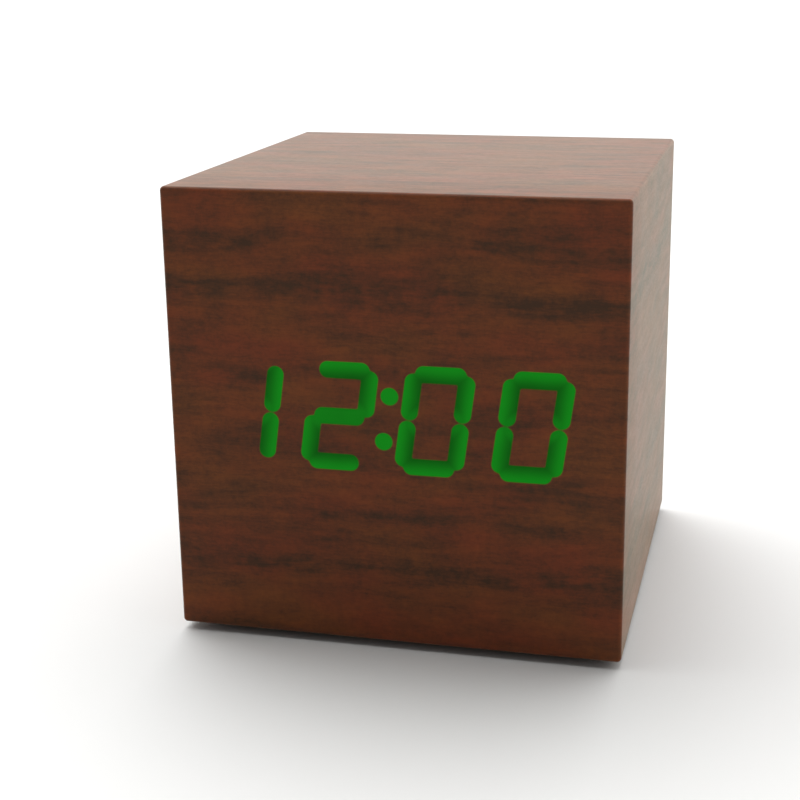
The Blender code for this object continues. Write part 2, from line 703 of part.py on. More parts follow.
def ribbon_z():
    return MAIN_BOARD_Z + HEADER_PLACE[1]


def header(name, x, face, z, out):
    """A connector that stands out of a board's face, towards +Y or -Y, with a slot for the ribbon."""
    half_x, half_z = HEADER_WIDTH / 2, HEADER_HEIGHT / 2
    near, far = sorted((face, face + out * HEADER_DEPTH))
    block = box(name, (x - half_x, near, z - half_z), (x + half_x, far, z + half_z))
    obj = piece(name, block, WHITE_PLASTIC)
    half_x, half_z = RIBBON_WIDTH / 2 + TOUCH, HEADER_SLOT / 2
    mouth = face + out * HEADER_DEPTH
    near, far = sorted((mouth - out * HEADER_DEPTH / 2, mouth + out * TOUCH))
    slot = box(f"{name}_slot", (x - half_x, near, z - half_z), (x + half_x, far, z + half_z))
    boolean(obj, cutter(f"{name}_slot", slot))


def chip(name, place, out):
    """A flat chip with two rows of legs, standing out of a board's face towards +Y or -Y."""
    wide, tall, thick = CHIP_SIZE
    x, face, z = place
    near, far = sorted((face, face + out * thick))
    block = box(name, (x - wide / 2, near, z - tall / 2), (x + wide / 2, far, z + tall / 2))
    obj = piece(name, block, BLACK_PLASTIC)
    near, far = sorted((face, face + out * LEG_HEIGHT))
    legs = []
    for number in range(CHIP_LEGS):
        middle = x + (number - (CHIP_LEGS - 1) / 2) * wide / CHIP_LEGS
        legs.append(
            box_shape(
                (middle - LEG_WIDTH / 2, near, z - tall / 2 - LEG_REACH),
                (middle + LEG_WIDTH / 2, far, z + tall / 2 + LEG_REACH),
            )
        )
    boolean(obj, cutter(f"{name}_legs", mesh_from(f"{name}_legs", legs)), "UNION")


def ribbon_cable():
    """Flat cable from one header's slot to the other's, level in the slots, with a spare hump between."""
    start = DISPLAY_BOARD_REAR + TOUCH + HEADER_DEPTH / 2 + TOUCH
    end = BOARD_FRONT - TOUCH - HEADER_DEPTH / 2 - TOUCH
    level = HEADER_DEPTH / 2 + TOUCH
    run = end - start - 2 * level
    line = [Vector((start, 0))]
    for i in range(RIBBON_POINTS + 1):
        part = i / RIBBON_POINTS
        line.append(Vector((start + level + run * part, RIBBON_HUMP * math.sin(math.pi * part) ** 2)))
    line.append(Vector((end, 0)))
    last = len(line) - 1
    ahead = [(line[min(i + 1, last)] - line[max(i - 1, 0)]).normalized() for i in range(last + 1)]
    across = [Vector((-d.y, d.x)) * RIBBON_THICKNESS / 2 for d in ahead]
    upper = [tuple(p + n) for p, n in zip(line, across)]
    lower = [tuple(p - n) for p, n in zip(line, across)]
    curve = outline("ribbon_cable", [lower + upper[::-1]], RIBBON_WIDTH)
    piece("ribbon_cable", curve, GREY_RIBBON, (HEADER_PLACE[0], 0, ribbon_z()), SIDEWAYS)


def main_board():
    """Main board and what is soldered to it."""
    bore = SCREW_SHANK / 2 + THREAD_ROOM
    holes = [circle((x, z - MAIN_BOARD_Z), bore, 12) for x, _, z in board_screw_places(0)]
    loops = [rounded(MAIN_BOARD_WIDTH, MAIN_BOARD_HEIGHT, COVER_CORNER)] + holes
    place = (0, (BOARD_FRONT + BOARD_REAR) / 2, MAIN_BOARD_Z)
    piece("main_board", outline("main_board", loops, BOARD), CIRCUIT_BOARD, place, UPRIGHT)
    screws("main_board_screw", MAIN_SCREW_LENGTH, board_screw_places(BOARD_FRONT - TOUCH), FACING_FRONT)

    header("main_header", HEADER_PLACE[0], BOARD_FRONT - TOUCH, ribbon_z(), -1)
    chip("clock_chip", (CHIP_PLACE[0], BOARD_FRONT - TOUCH, MAIN_BOARD_Z + CHIP_PLACE[1]), -1)
    wide, tall, high = CRYSTAL_SIZE
    reach = (wide - tall) / 2
    can = outline("quartz_crystal", [stadium((-reach, 0), (reach, 0), tall / 2, 6)], high)
    place = (CRYSTAL_PLACE[0], BOARD_FRONT - TOUCH - high / 2, MAIN_BOARD_Z + CRYSTAL_PLACE[1])
    piece("quartz_crystal", can, METAL, place, UPRIGHT)
    radius, top = CAPACITOR_DIAMETER / 2, CAPACITOR_HEIGHT
    neck = radius * 0.9
    profile = [(0, top), (neck, top), (radius, top * 0.96), (radius, top * 0.3), (neck, top * 0.25)]
    profile += [(neck, top * 0.18), (radius, top * 0.13), (radius, 0), (0, 0)]
    place = (CAPACITOR_PLACE[0], BOARD_FRONT - TOUCH, MAIN_BOARD_Z + CAPACITOR_PLACE[1])
    turned_piece("filter_capacitor", profile, CELL_JACKET, place, FACING_FRONT, 16)

    def behind(name, profile, place, material):
        """A turned part on the board's rear face."""
        spot = (place[0], BOARD_REAR + TOUCH, MAIN_BOARD_Z + place[1])
        turned_piece(name, profile, material, spot, FACING_REAR)

    radius, top, port = BUZZER_DIAMETER / 2, BUZZER_HEIGHT, BUZZER_PORT / 2
    profile = [(0, top * 0.6), (port, top * 0.6), (port, top), (radius, top), (radius, 0), (0, 0)]
    behind("alarm_buzzer", profile, BUZZER_PLACE, BLACK_PLASTIC)
    radius, top, port = MICROPHONE_DIAMETER / 2, MICROPHONE_HEIGHT, MICROPHONE_PORT / 2
    profile = [(0, top * 0.8), (port, top * 0.8), (port, top), (radius, top), (radius, 0), (0, 0)]
    behind("microphone", profile, MICROPHONE_PLACE, METAL)
    radius, top, bore, pin = JACK_DIAMETER / 2, JACK_HEIGHT, JACK_BORE / 2, JACK_PIN / 2
    floor = top * 0.2
    profile = [(0, top * 0.9), (pin, top * 0.9), (pin, floor), (bore, floor), (bore, top)]
    profile += [(radius, top), (radius, 0), (0, 0)]
    behind("power_jack", profile, JACK_PLACE, BLACK_PLASTIC)
    radius = SENSOR_DIAMETER / 2
    flat = arc((0, 0), radius, math.radians(-40), math.radians(220), 12)
    body = outline("temperature_sensor", [flat], SENSOR_HEIGHT)
    place = (SENSOR_PLACE[0], BOARD_REAR + TOUCH + SENSOR_HEIGHT / 2, MAIN_BOARD_Z + SENSOR_PLACE[1])
    piece("temperature_sensor", body, BLACK_PLASTIC, place, UPRIGHT)


def button(name, x):
    """A switch on the board, its plunger, and the cap that presses it through the rear cover."""
    half, face = SWITCH_SIDE / 2, BOARD_REAR + TOUCH
    body = piece(
        f"{name}_switch_body",
        box(
            f"{name}_switch_body",
            (x - half, face, BUTTON_Z - half),
            (x + half, face + SWITCH_HEIGHT, BUTTON_Z + half),
        ),
        BLACK_PLASTIC,
    )
    well = PLUNGER_DEPTH + BUTTON_TRAVEL + TOUCH
    bore = rods(
        f"{name}_switch_well", [(x, face + SWITCH_HEIGHT, BUTTON_Z)], PLUNGER_DIAMETER / 2 + TOUCH, 2 * well
    )
    boolean(body, cutter(f"{name}_switch_well", bore))

    radius, tip, foot = PLUNGER_DIAMETER / 2, 0, -(PLUNGER_PROUD + PLUNGER_DEPTH)
    plunger = turned_piece(
        f"{name}_switch_plunger",
        [(0, tip), (radius, tip), (radius, foot), (0, foot)],
        WHITE_PLASTIC,
        (x, PLUNGER_TIP, BUTTON_Z),
        FACING_REAR,
        16,
    )
    top = COVER_REAR + BUTTON_PROUD - PLUNGER_TIP
    flange_top = COVER_FRONT - TOUCH - PLUNGER_TIP
    flange_low = flange_top - BUTTON_FLANGE_THICKNESS
    radius, flange, stem = BUTTON_DIAMETER / 2, BUTTON_FLANGE / 2, BUTTON_STEM / 2
    dish, rim = 0.2 * MM, 0.35 * MM
    profile = [(0, top - dish), (radius * 0.55, top - dish), (radius - rim, top), (radius, top - rim)]
    profile += [(radius, flange_top), (flange, flange_top), (flange, flange_low), (stem, flange_low)]
    profile += [(stem, TOUCH), (0, TOUCH)]
    cap = turned_piece(
        f"{name}_button_cap", profile, BLACK_PLASTIC, (x, PLUNGER_TIP, BUTTON_Z), FACING_REAR
    )
    bpy.context.view_layer.update()
    plunger.parent = cap
    plunger.matrix_parent_inverse = cap.matrix_world.inverted()


def battery_box():
    """Tray for the cells, open at the bottom, screwed to the floor of the core by two ears."""
    half = BOX_INNER_LENGTH / 2
    low = (-half - BOX_WALL, BOX_INNER_FRONT - BOX_WALL, BODY_BOTTOM)
    high = (half + BOX_WALL, BOX_INNER_REAR + BOX_WALL, BOX_TOP)
    tray = piece("battery_box", box("battery_box", low, high), BLACK_PLASTIC)
    ears = box(
        "box_ears",
        (-EAR_WIDTH / 2, low[1] - EAR_LENGTH, EAR_BOTTOM),
        (EAR_WIDTH / 2, high[1] + EAR_LENGTH, EAR_TOP),
    )
    boolean(tray, cutter("box_ears", ears), "UNION")
    inside = box(
        "box_inside", (-half, BOX_INNER_FRONT, BODY_BOTTOM - BOX_WALL), (half, BOX_INNER_REAR, BOX_CEILING)
    )
    boolean(tray, cutter("box_inside", inside))
    bore = SCREW_SHANK / 2 + THREAD_ROOM
    holes = mesh_from(
        "ear_holes",
        [
            rod_shape(bore, 2 * EAR_THICKNESS, Matrix.Translation(place), 12)
            for place in box_screw_places((EAR_BOTTOM + EAR_TOP) / 2)
        ],
    )
    boolean(tray, cutter("ear_holes", holes))
    screws("battery_box_screw", BOX_SCREW_LENGTH, box_screw_places(EAR_TOP + TOUCH), (0, 0, 0))

    axis = Matrix.Translation((0, HINGE_Y, HINGE_Z)) @ Matrix.Rotation(math.pi / 2, 4, "Y")
    length = 2 * (half + 2 * BOX_WALL)
    socket = mesh_from("pin_sockets", [rod_shape(PIN_DIAMETER / 2 + TOUCH, length, axis, 16)])
    boolean(tray, cutter("pin_sockets", socket))
    snap = box(
        "pin_snaps",
        (-length / 2, HINGE_Y - SNAP_WIDTH / 2, BODY_BOTTOM - BOX_WALL),
        (length / 2, HINGE_Y + SNAP_WIDTH / 2, HINGE_Z),
    )
    boolean(tray, cutter("pin_snaps", snap))
    reach = LATCH_NIB + TOUCH
    catch = box(
        "latch_catch",
        (-LATCH_WIDTH / 2, BOX_INNER_REAR - TOUCH, HINGE_Z - reach),
        (LATCH_WIDTH / 2, BOX_INNER_REAR + reach, HINGE_Z + DOOR_THICKNESS / 2 + reach),
    )
    boolean(tray, cutter("latch_catch", catch))
    for side, y in ((-1, cell_y(0)), (1, cell_y(CELL_COUNT - 1))):
        slot_half = TAB_WIDTH / 2 + TOUCH
        outer = half + TOUCH / 2
        inner = half - CONTACT - 2 * TOUCH
        near, far = sorted((side * inner, side * outer))
        slot = box(
            "tab_slot", (near, y - slot_half, BOX_CEILING - TOUCH), (far, y + slot_half, BOX_TOP + TOUCH)
        )
        boolean(tray, cutter("tab_slot", slot))


def battery_door():
    """Door whose front edge is round about its pivot pins, with a latch tongue at its rear edge."""
    half = DOOR_THICKNESS / 2
    front = arc((0, 0), half, math.radians(90), math.radians(270), 8)
    edge = front + [(DOOR_REACH, -half), (DOOR_REACH, half)]
    width = BOX_INNER_LENGTH - 2 * TOUCH
    mesh = solid_outline("battery_door", [edge], width)
    door = piece("battery_door", mesh, BLACK_PLASTIC, (0, HINGE_Y, HINGE_Z), SIDEWAYS)

    turn = Matrix.Rotation(math.pi / 2, 4, "Y")
    pins = mesh_from("door_pins", [rod_shape(PIN_DIAMETER / 2, width + 2 * PIN_LENGTH, turn, 12)])
    boolean(door, cutter("door_pins", pins, (0, HINGE_Y, HINGE_Z)), "UNION")
    rear = HINGE_Y + DOOR_REACH
    nib = box(
        "latch_nib",
        (-LATCH_WIDTH / 4, rear - half, HINGE_Z - LATCH_NIB),
        (LATCH_WIDTH / 4, rear + LATCH_NIB, HINGE_Z + half),
    )
    boolean(door, cutter("latch_nib", nib), "UNION")
    slits = []
    for side in (-1, 1):
        near, far = sorted((side * LATCH_WIDTH / 2, side * (LATCH_WIDTH / 2 + LATCH_SLIT)))
        slits.append(
            box_shape((near, rear - LATCH_LENGTH, BODY_BOTTOM - half), (far, rear + half, DOOR_TOP + half))
        )
    boolean(door, cutter("latch_slits", mesh_from("latch_slits", slits)))
    middle = Matrix.Translation((0, rear - LATCH_LENGTH - THUMB_RADIUS, BODY_BOTTOM))
    thumb = mesh_from("thumb_recess", [rod_shape(THUMB_RADIUS, 2 * THUMB_DEPTH, middle, 24)])
    boolean(door, cutter("thumb_recess", thumb))


def cell_y(number):
    return BOX_MIDDLE_Y + (number - (CELL_COUNT - 1) / 2) * CELL_PITCH


def contact_plate(name, side, ys, tab_y=None):
    """A plate on one end wall behind the cells at these ys, with a solder tab through the box's ceiling."""
    low_y, high_y = min(ys) - CONTACT_WIDTH / 2, max(ys) + CONTACT_WIDTH / 2
    low_z, high_z = CELL_Z - CONTACT_HEIGHT / 2, CELL_Z + CONTACT_HEIGHT / 2
    edge = [(low_y, low_z), (high_y, low_z), (high_y, high_z)]
    if tab_y is not None:
        top = BOX_TOP + TAB_RISE
        left, right = tab_y - TAB_WIDTH / 2, tab_y + TAB_WIDTH / 2
        edge += [(right, high_z), (right, top), (left, top), (left, high_z)]
    edge.append((low_y, high_z))
    x = side * (BOX_INNER_LENGTH / 2 - TOUCH - CONTACT / 2)
    piece(name, outline(name, [edge], CONTACT), METAL, (x, 0, 0), SIDEWAYS)


def contact_spring(name, side, y):
    """A conical coil from the plate to the cell's flat end."""
    wire = SPRING_WIRE / 2
    start = BOX_INNER_LENGTH / 2 - 2 * TOUCH - CONTACT - wire
    travel = SPRING_LENGTH - 2 * wire
    count = SPRING_TURNS * SPRING_POINTS
    points = []
    for i in range(count + 1):
        part = i / count
        angle = 2 * math.pi * i / SPRING_POINTS
        radius = SPRING_WIDE + (SPRING_NARROW - SPRING_WIDE) * part
        x = side * (start - travel * part)
        points.append((x, y + radius * math.cos(angle), CELL_Z + radius * math.sin(angle)))
    tube(name, points, SPRING_WIRE, METAL)


def cells():
    """Three cells side by side, turned end for end in turn, with their contacts."""
    radius, nub = CELL_DIAMETER / 2, NUB_DIAMETER / 2
    top, shoulder, soft = CELL_LENGTH, CELL_LENGTH - NUB_HEIGHT, 0.4 * MM
    profile = [(0, top), (nub, top), (nub, shoulder), (radius - soft, shoulder), (radius, shoulder - soft)]
    profile += [(radius, soft), (radius - soft, 0), (0, 0)]
    nub_tip = BOX_INNER_LENGTH / 2 - 2 * TOUCH - CONTACT
    for number in range(CELL_COUNT):
        side = -1 if number % 2 == 0 else 1  # the end wall that the cell's positive end faces
        x = side * (nub_tip - CELL_LENGTH)
        turn = FACING_LEFT if side < 0 else FACING_RIGHT
        place = (x, cell_y(number), CELL_Z)
        turned_piece(f"battery_cell_{number + 1}", profile, CELL_JACKET, place, turn)
        contact_spring(f"contact_spring_{number + 1}", -side, cell_y(number))
    first, second, third = cell_y(0), cell_y(1), cell_y(2)
    contact_plate("contact_positive", -1, [first], first)
    contact_plate("contact_bridge_left", -1, [second, third])
    contact_plate("contact_bridge_right", 1, [first, second])
    contact_plate("contact_negative", 1, [third], third)


def battery_leads():
    """Wires from the two solder tabs to the main board: up from the tab, then back into the board's face."""
    x = BOX_INNER_LENGTH / 2 - TOUCH - CONTACT / 2
    top = BOX_TOP + TAB_RISE + TOUCH
    end_y = BOARD_FRONT - TOUCH
    wires = (
        ("battery_lead_red", (-x, cell_y(0), top), RED_PAD, RED_WIRE),
        ("battery_lead_black", (x, cell_y(CELL_COUNT - 1), top), BLACK_PAD, BLACK_WIRE),
    )
    for name, start, pad, material in wires:
        end = (pad[0], end_y, MAIN_BOARD_Z + pad[1])
        rise = (end[2] - start[2]) * 0.9
        run = (end[1] - start[1]) * 0.6
        corners = [start, (start[0], start[1], start[2] + rise), (end[0], end[1] - run, end[2]), end]
        tube(name, bezier(corners, LEAD_POINTS), LEAD_DIAMETER, material)


def feet():
    radius, top, soft = FOOT_DIAMETER / 2, FOOT_STAND - TOUCH, 0.2 * MM
    profile = [(0, top), (radius, top), (radius, soft), (radius - soft, 0), (0, 0)]
    x, y = BODY_WIDTH / 2 - FOOT_INSET, BODY_DEPTH / 2 - FOOT_INSET
    places = [(sx * x, sy * y, 0) for sx in (-1, 1) for sy in (-1, 1)]
    for number, place in enumerate(places, 1):
        turned_piece(f"rubber_foot_{number}", profile, RUBBER, place, (0, 0, 0))


case_core()
woodgrain_wrap()
rear_cover()
display()
ribbon_cable()
main_board()
for button_name, button_x in button_places().items():
    button(button_name, button_x)
battery_box()
battery_door()
cells()
battery_leads()
feet()
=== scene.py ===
"""Cube alarm clock in wood-look film, with a green display that shines through its front."""

import math

import bpy
import numpy as np
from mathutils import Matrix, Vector


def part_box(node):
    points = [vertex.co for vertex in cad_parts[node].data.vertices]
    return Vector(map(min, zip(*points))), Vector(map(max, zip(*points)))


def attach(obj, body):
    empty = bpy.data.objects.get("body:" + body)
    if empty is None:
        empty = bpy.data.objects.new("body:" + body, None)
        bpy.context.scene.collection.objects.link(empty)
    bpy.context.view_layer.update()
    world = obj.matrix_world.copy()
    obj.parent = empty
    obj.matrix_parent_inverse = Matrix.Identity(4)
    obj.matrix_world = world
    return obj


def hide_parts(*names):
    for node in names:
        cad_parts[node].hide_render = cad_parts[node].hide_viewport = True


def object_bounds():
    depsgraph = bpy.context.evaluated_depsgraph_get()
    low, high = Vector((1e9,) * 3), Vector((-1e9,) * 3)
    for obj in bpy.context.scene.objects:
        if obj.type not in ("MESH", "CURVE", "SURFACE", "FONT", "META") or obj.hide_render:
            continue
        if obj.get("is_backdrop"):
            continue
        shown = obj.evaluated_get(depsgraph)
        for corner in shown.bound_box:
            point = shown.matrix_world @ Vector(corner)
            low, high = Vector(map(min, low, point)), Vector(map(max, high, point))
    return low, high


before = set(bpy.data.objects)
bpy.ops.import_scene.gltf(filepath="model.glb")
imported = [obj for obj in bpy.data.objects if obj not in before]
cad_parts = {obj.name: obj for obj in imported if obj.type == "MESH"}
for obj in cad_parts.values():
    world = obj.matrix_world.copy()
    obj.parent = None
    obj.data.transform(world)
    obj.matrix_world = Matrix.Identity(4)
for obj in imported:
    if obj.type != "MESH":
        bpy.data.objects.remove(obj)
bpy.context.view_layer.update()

# ---- The room -------------------------------------------------------------------------------
# A pale table in a pale room. The room is bright behind and above the clock, so that light skims
# its top and its right side, and dim on the camera's side, so that the front stays dark.

ROOM_PAINT = (0.96, 0.96, 0.95, 1)
ROOM_BRIGHT = 1.75
ROOM_DIM = 0.2
ROOM_SEEN = 1.15
LIGHT_STRENGTH = 2.5
LIGHT_WIDTH = math.radians(60)
LIGHT_FROM = (-0.25, 0.3, 1.0)
TABLE_SIDE = 5.0
TABLE_PAINT = (0.66, 0.66, 0.655, 1)
TABLE_ROUGHNESS = 0.7
MM = 0.001


def node(tree, kind, inputs=None, **settings):
    """A node of that kind. Each input is a constant, or another node's output to link."""
    made = tree.nodes.new(kind)
    for name, value in settings.items():
        setattr(made, name, value)
    for name, value in (inputs or {}).items():
        if isinstance(value, bpy.types.NodeSocket):
            tree.links.new(value, made.inputs[name])
        else:
            made.inputs[name].default_value = value
    return made


def maths(tree, operation, *values, clamp=False):
    """The output of a Math node: operation on one, two or three values."""
    made = node(tree, "ShaderNodeMath", dict(enumerate(values)), operation=operation, use_clamp=clamp)
    return made.outputs[0]


def ease(tree, value, start, end, low=0.0, high=1.0):
    """A value that goes smoothly from low to high as the input goes from start to end."""
    inputs = {"Value": value, "From Min": start, "From Max": end, "To Min": low, "To Max": high}
    return node(tree, "ShaderNodeMapRange", inputs, interpolation_type="SMOOTHSTEP").outputs[0]


def pale_room():
    """Light from the whole room, strong behind the clock (+Y) and weak on the camera's side (-Y)."""
    room = bpy.data.worlds.new("pale_room")
    room.use_nodes = True
    tree = room.node_tree
    towards = node(tree, "ShaderNodeTexCoord").outputs["Generated"]
    back = node(tree, "ShaderNodeSeparateXYZ", {"Vector": towards}).outputs["Y"]
    strength = ease(tree, back, -0.35, 0.35, ROOM_DIM, ROOM_BRIGHT)
    seen = node(tree, "ShaderNodeLightPath").outputs["Is Camera Ray"]
    strength = maths(tree, "MAXIMUM", strength, maths(tree, "MULTIPLY", seen, ROOM_SEEN))
    paint = tree.nodes["Background"]
    paint.inputs["Color"].default_value = ROOM_PAINT
    tree.links.new(strength, paint.inputs["Strength"])
    bpy.context.scene.world = room


def soft_light():
    """A wide, even light from over and behind the clock."""
    lamp = bpy.data.lights.new("soft_light", "SUN")
    lamp.energy = LIGHT_STRENGTH
    lamp.angle = LIGHT_WIDTH
    holder = bpy.data.objects.new("soft_light", lamp)
    bpy.context.scene.collection.objects.link(holder)
    holder.rotation_euler = (-Vector(LIGHT_FROM)).to_track_quat("-Z", "Y").to_euler()


def table():
    """A flat square under the clock."""
    half = TABLE_SIDE / 2
    corners = [(-half, -half, 0), (half, -half, 0), (half, half, 0), (-half, half, 0)]
    mesh = bpy.data.meshes.new("table")
    mesh.from_pydata(corners, [], [(0, 1, 2, 3)])
    paint = bpy.data.materials.new("table_paint")
    paint.use_nodes = True
    shader = paint.node_tree.nodes["Principled BSDF"]
    shader.inputs["Base Color"].default_value = TABLE_PAINT
    shader.inputs["Roughness"].default_value = TABLE_ROUGHNESS
    mesh.materials.append(paint)
    made = bpy.data.objects.new("table", mesh)
    bpy.context.scene.collection.objects.link(made)
    made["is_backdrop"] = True


def camera():
    """A camera in front of the clock, a little to its right and above it."""
    lens = bpy.data.cameras.new("camera")
    lens.lens = 68.2
    lens.sensor_width = 36
    lens.shift_x = -0.042
    lens.shift_y = -0.039
    made = bpy.data.objects.new("camera", lens)
    bpy.context.scene.collection.objects.link(made)
    made.location = (49.6 * MM, -214.9 * MM, 92.6 * MM)
    made.rotation_euler = [math.radians(angle) for angle in (74.52, 0.5, 13.25)]
    bpy.context.scene.camera = made


pale_room()
soft_light()
table()
camera()
bpy.context.scene.view_settings.view_transform = "Standard"

# ---- The wood-look film ---------------------------------------------------------------------
# A printed vinyl film, wrapped round the fibreboard cube with the grain level and its edges
# turned tight over the board's rounded edges. The display shines through the front of it.

FILM_THICKNESS = 0.5 * MM
FILM_EDGE = 0.6 * MM
FILM_EDGE_STEPS = 5
BOX_CLEARANCE = 0.3 * MM
BOX_EAR = 4.6 * MM  # the box's ears lie behind the board, so the opening leaves them out
FILM_LOW, FILM_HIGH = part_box("woodgrain_wrap")
BOX_LOW, BOX_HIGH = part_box("battery_box")

# The print and the display are laid out in millimetres.
GRAIN_DARK = (0.062, 0.033, 0.020, 1)
GRAIN_RED = (0.228, 0.051, 0.022, 1)
GRAIN_OCHRE = (0.212, 0.066, 0.022, 1)
GRAIN_AND_PAINTED_LIGHT_BANDS = (  # height of the band's middle, its half width, and how much darker it is, where below 0 is lighter
    (56.3, 2.0, 0.14),
    (49.6, 3.2, 0.34),
    (19.0, 1.6, 0.20),
    (11.8, 2.6, 0.28),
    # painted light: a lighter band along the foot, lifting the shade that falls there next to the table
    (4.5, 4.5, -0.22),
)
GRAIN_SWAY = 4.0  # how far a streak wanders up and down in all
EMBOSS_DEPTH = 0.02 * MM
FILM_REFLECTION = 0.05
FILM_SHEEN = 0.24
SHEEN_ROUGHNESS = 0.34
SHEEN_TINT = (1.0, 1.0, 0.77, 1)

DISPLAY_X = -0.6
DISPLAY_Z = 33.0
DIGIT_PITCH = 13.0
DIGIT_SLANT = math.radians(8)
BAR_RADIUS = 1.15
BAR_MELT = 0.45  # how far the glow of one bar melts into the next
COLON_RADIUS = 1.2
COLON_UP = 3.13
BAR_ENDS = {
    "a": ((-2.3, 6.375), (2.3, 6.375)),
    "b": ((3.55, 1.2), (3.55, 5.3)),
    "c": ((3.55, -5.3), (3.55, -1.2)),
    "d": ((-2.3, -6.375), (2.3, -6.375)),
    "e": ((-3.55, -5.3), (-3.55, -1.2)),
    "f": ((-3.55, 1.2), (-3.55, 5.3)),
    "g": ((-2.3, 0.0), (2.3, 0.0)),
}
LIT_BARS = ("bc", "abged", "abcdef", "abcdef")
BAR_BLUR = 0.1
GLOW_HALF_WIDTH = 2.4  # of the painted shade, a deeper green, in the middle of a digit
GLOW_HALF_HEIGHT = 5.2
GLOW_REACH = (-0.2, 2.3)  # past that middle, from where the painted shade is deepest to where the painted rim light is brightest
GLOW_WAIST = (0.6, 2.8)  # above and below the middle line, the heights over which the painted light along that line fades into the shade
# The digits' green runs from the lit colour, with painted light at the rims, to a painted shade in the
# hollows.
GLOW_BRIGHT = (0.002, 0.195, 0.005, 1)
GLOW_PAINTED_SHADE = (0.000, 0.075, 0.001, 1)
LIT_FILM = (0.002, 0.010, 0.002, 1)
NO_LIGHT = (0, 0, 0, 1)


def object_from(name, points, faces):
    """A mesh object from an array of points and an array of faces."""
    mesh = bpy.data.meshes.new(name)
    mesh.from_pydata(points.reshape(-1, 3).tolist(), [], faces.tolist())
    made = bpy.data.objects.new(name, mesh)
    bpy.context.scene.collection.objects.link(made)
    return made


def grid_faces(rows, columns):
    """The quads of a grid whose points are numbered row by row."""
    corner = np.arange((rows - 1) * columns).reshape(rows - 1, columns)[:, :-1].ravel()
    return np.stack([corner, corner + 1, corner + columns + 1, corner + columns], axis=1)


def grid_lines(low, high, edge, steps, extra=()):
    """Places across a face: even angles round each rounded edge, and the extra lines."""
    turn = edge * (1 - np.tan(np.linspace(math.pi / 4, 0, steps + 1)))
    return np.unique(np.round(np.concatenate([low + turn, high - turn, np.array(extra)]), 9))


def round_edges(points, low, high, edge):
    """Each point of a sharp box is drawn in to the box low..high, and pushed back out by edge."""
    inner = np.clip(points, low, high)
    out = points - inner
    return inner + edge * out / np.maximum(np.linalg.norm(out, axis=-1, keepdims=True), 1e-12)


def film_skin():
    """Five faces of a box, each a grid of (across, up), rounded at their edges and open at the rear.

    The map of the film holds millimetres along the grain and across it, unrolled from the front.
    """
    low, high = np.array(FILM_LOW), np.array(FILM_HIGH)
    hole = (BOX_LOW[0] - BOX_CLEARANCE, BOX_HIGH[0] + BOX_CLEARANCE)
    hole_y = (BOX_LOW[1] + BOX_EAR - BOX_CLEARANCE, BOX_HIGH[1] - BOX_EAR + BOX_CLEARANCE)
    xs = grid_lines(low[0], high[0], FILM_EDGE, FILM_EDGE_STEPS, hole)
    zs = grid_lines(low[2], high[2], FILM_EDGE, FILM_EDGE_STEPS)
    ys = grid_lines(low[1], high[1], FILM_EDGE, FILM_EDGE_STEPS, hole_y)
    ys = ys[ys < high[1] - FILM_EDGE]
    ys = np.append(ys, high[1])
    wide, deep, tall = high - low
    points, faces, places = [], [], []

    def face(across, up, at, along, over):
        x, y, z = (np.asarray(part) + 0 * across * up for part in at(across, up))
        first = sum(len(part) for part in points)
        points.append(np.stack([x, y, z], axis=-1).reshape(-1, 3))
        places.append(np.stack([along(x, y) + 0 * z, over(y, z) + 0 * x], axis=-1).reshape(-1, 2))
        faces.append(grid_faces(*x.shape) + first)

    row, column = np.s_[:, None], np.s_[None, :]
    face(xs[column], zs[row], lambda a, b: (a, low[1], b), lambda x, y: x, lambda y, z: z)
    face(ys[column], zs[row], lambda a, b: (high[0], a, b), lambda x, y: y + wide, lambda y, z: z)
    back_ys = ys[::-1]
    face(back_ys[column], zs[row], lambda a, b: (low[0], a, b), lambda x, y: -y - wide, lambda y, z: z)
    face(xs[column], ys[row], lambda a, b: (a, b, high[2]), lambda x, y: x, lambda y, z: y + deep + z)
    face(xs[column], back_ys[row], lambda a, b: (a, b, low[2]), lambda x, y: x, lambda y, z: z - y - deep)
    points, faces, places = np.concatenate(points), np.concatenate(faces), np.concatenate(places)

    middle = points[faces].mean(axis=1)
    in_hole = (middle[:, 0] > hole[0]) & (middle[:, 0] < hole[1]) & (middle[:, 2] < low[2] + FILM_EDGE)
    in_hole &= (middle[:, 1] > hole_y[0]) & (middle[:, 1] < hole_y[1])
    faces = faces[~in_hole]
    inner_low = low + FILM_EDGE
    inner_high = high - np.array([FILM_EDGE, 0, FILM_EDGE])
    skin = object_from("film_skin", round_edges(points, inner_low, inner_high, FILM_EDGE), faces)
    layer = skin.data.uv_layers.new(name="film")
    layer.uv.foreach_set("vector", (places[faces.ravel()] / MM).astype(np.float32).ravel())
    return skin


def closed_seams(piece, apart=0.001 * MM):
    """Joins the points that two faces share."""
    weld = piece.modifiers.new("seams", "WELD")
    weld.merge_threshold = apart


def thickened(piece, thickness):
    """Gives a sheet its thickness, inwards."""
    wall = piece.modifiers.new("wall", "SOLIDIFY")
    wall.thickness = thickness
    wall.offset = -1
    wall.use_even_offset = True


def smooth(piece, angle=35):
    """Shades round stretches smooth, and edges over the angle sharp."""
    piece.data.shade_smooth()
    piece.data.set_sharp_from_angle(angle=math.radians(angle))


def material(name, roughness=0.5, metallic=0.0):
    """A material with one Principled BSDF, as (material, node tree, shader)."""
    made = bpy.data.materials.new(name)
    made.use_nodes = True
    shader = made.node_tree.nodes["Principled BSDF"]
    shader.inputs["Roughness"].default_value = roughness
    shader.inputs["Metallic"].default_value = metallic
    return made, made.node_tree, shader


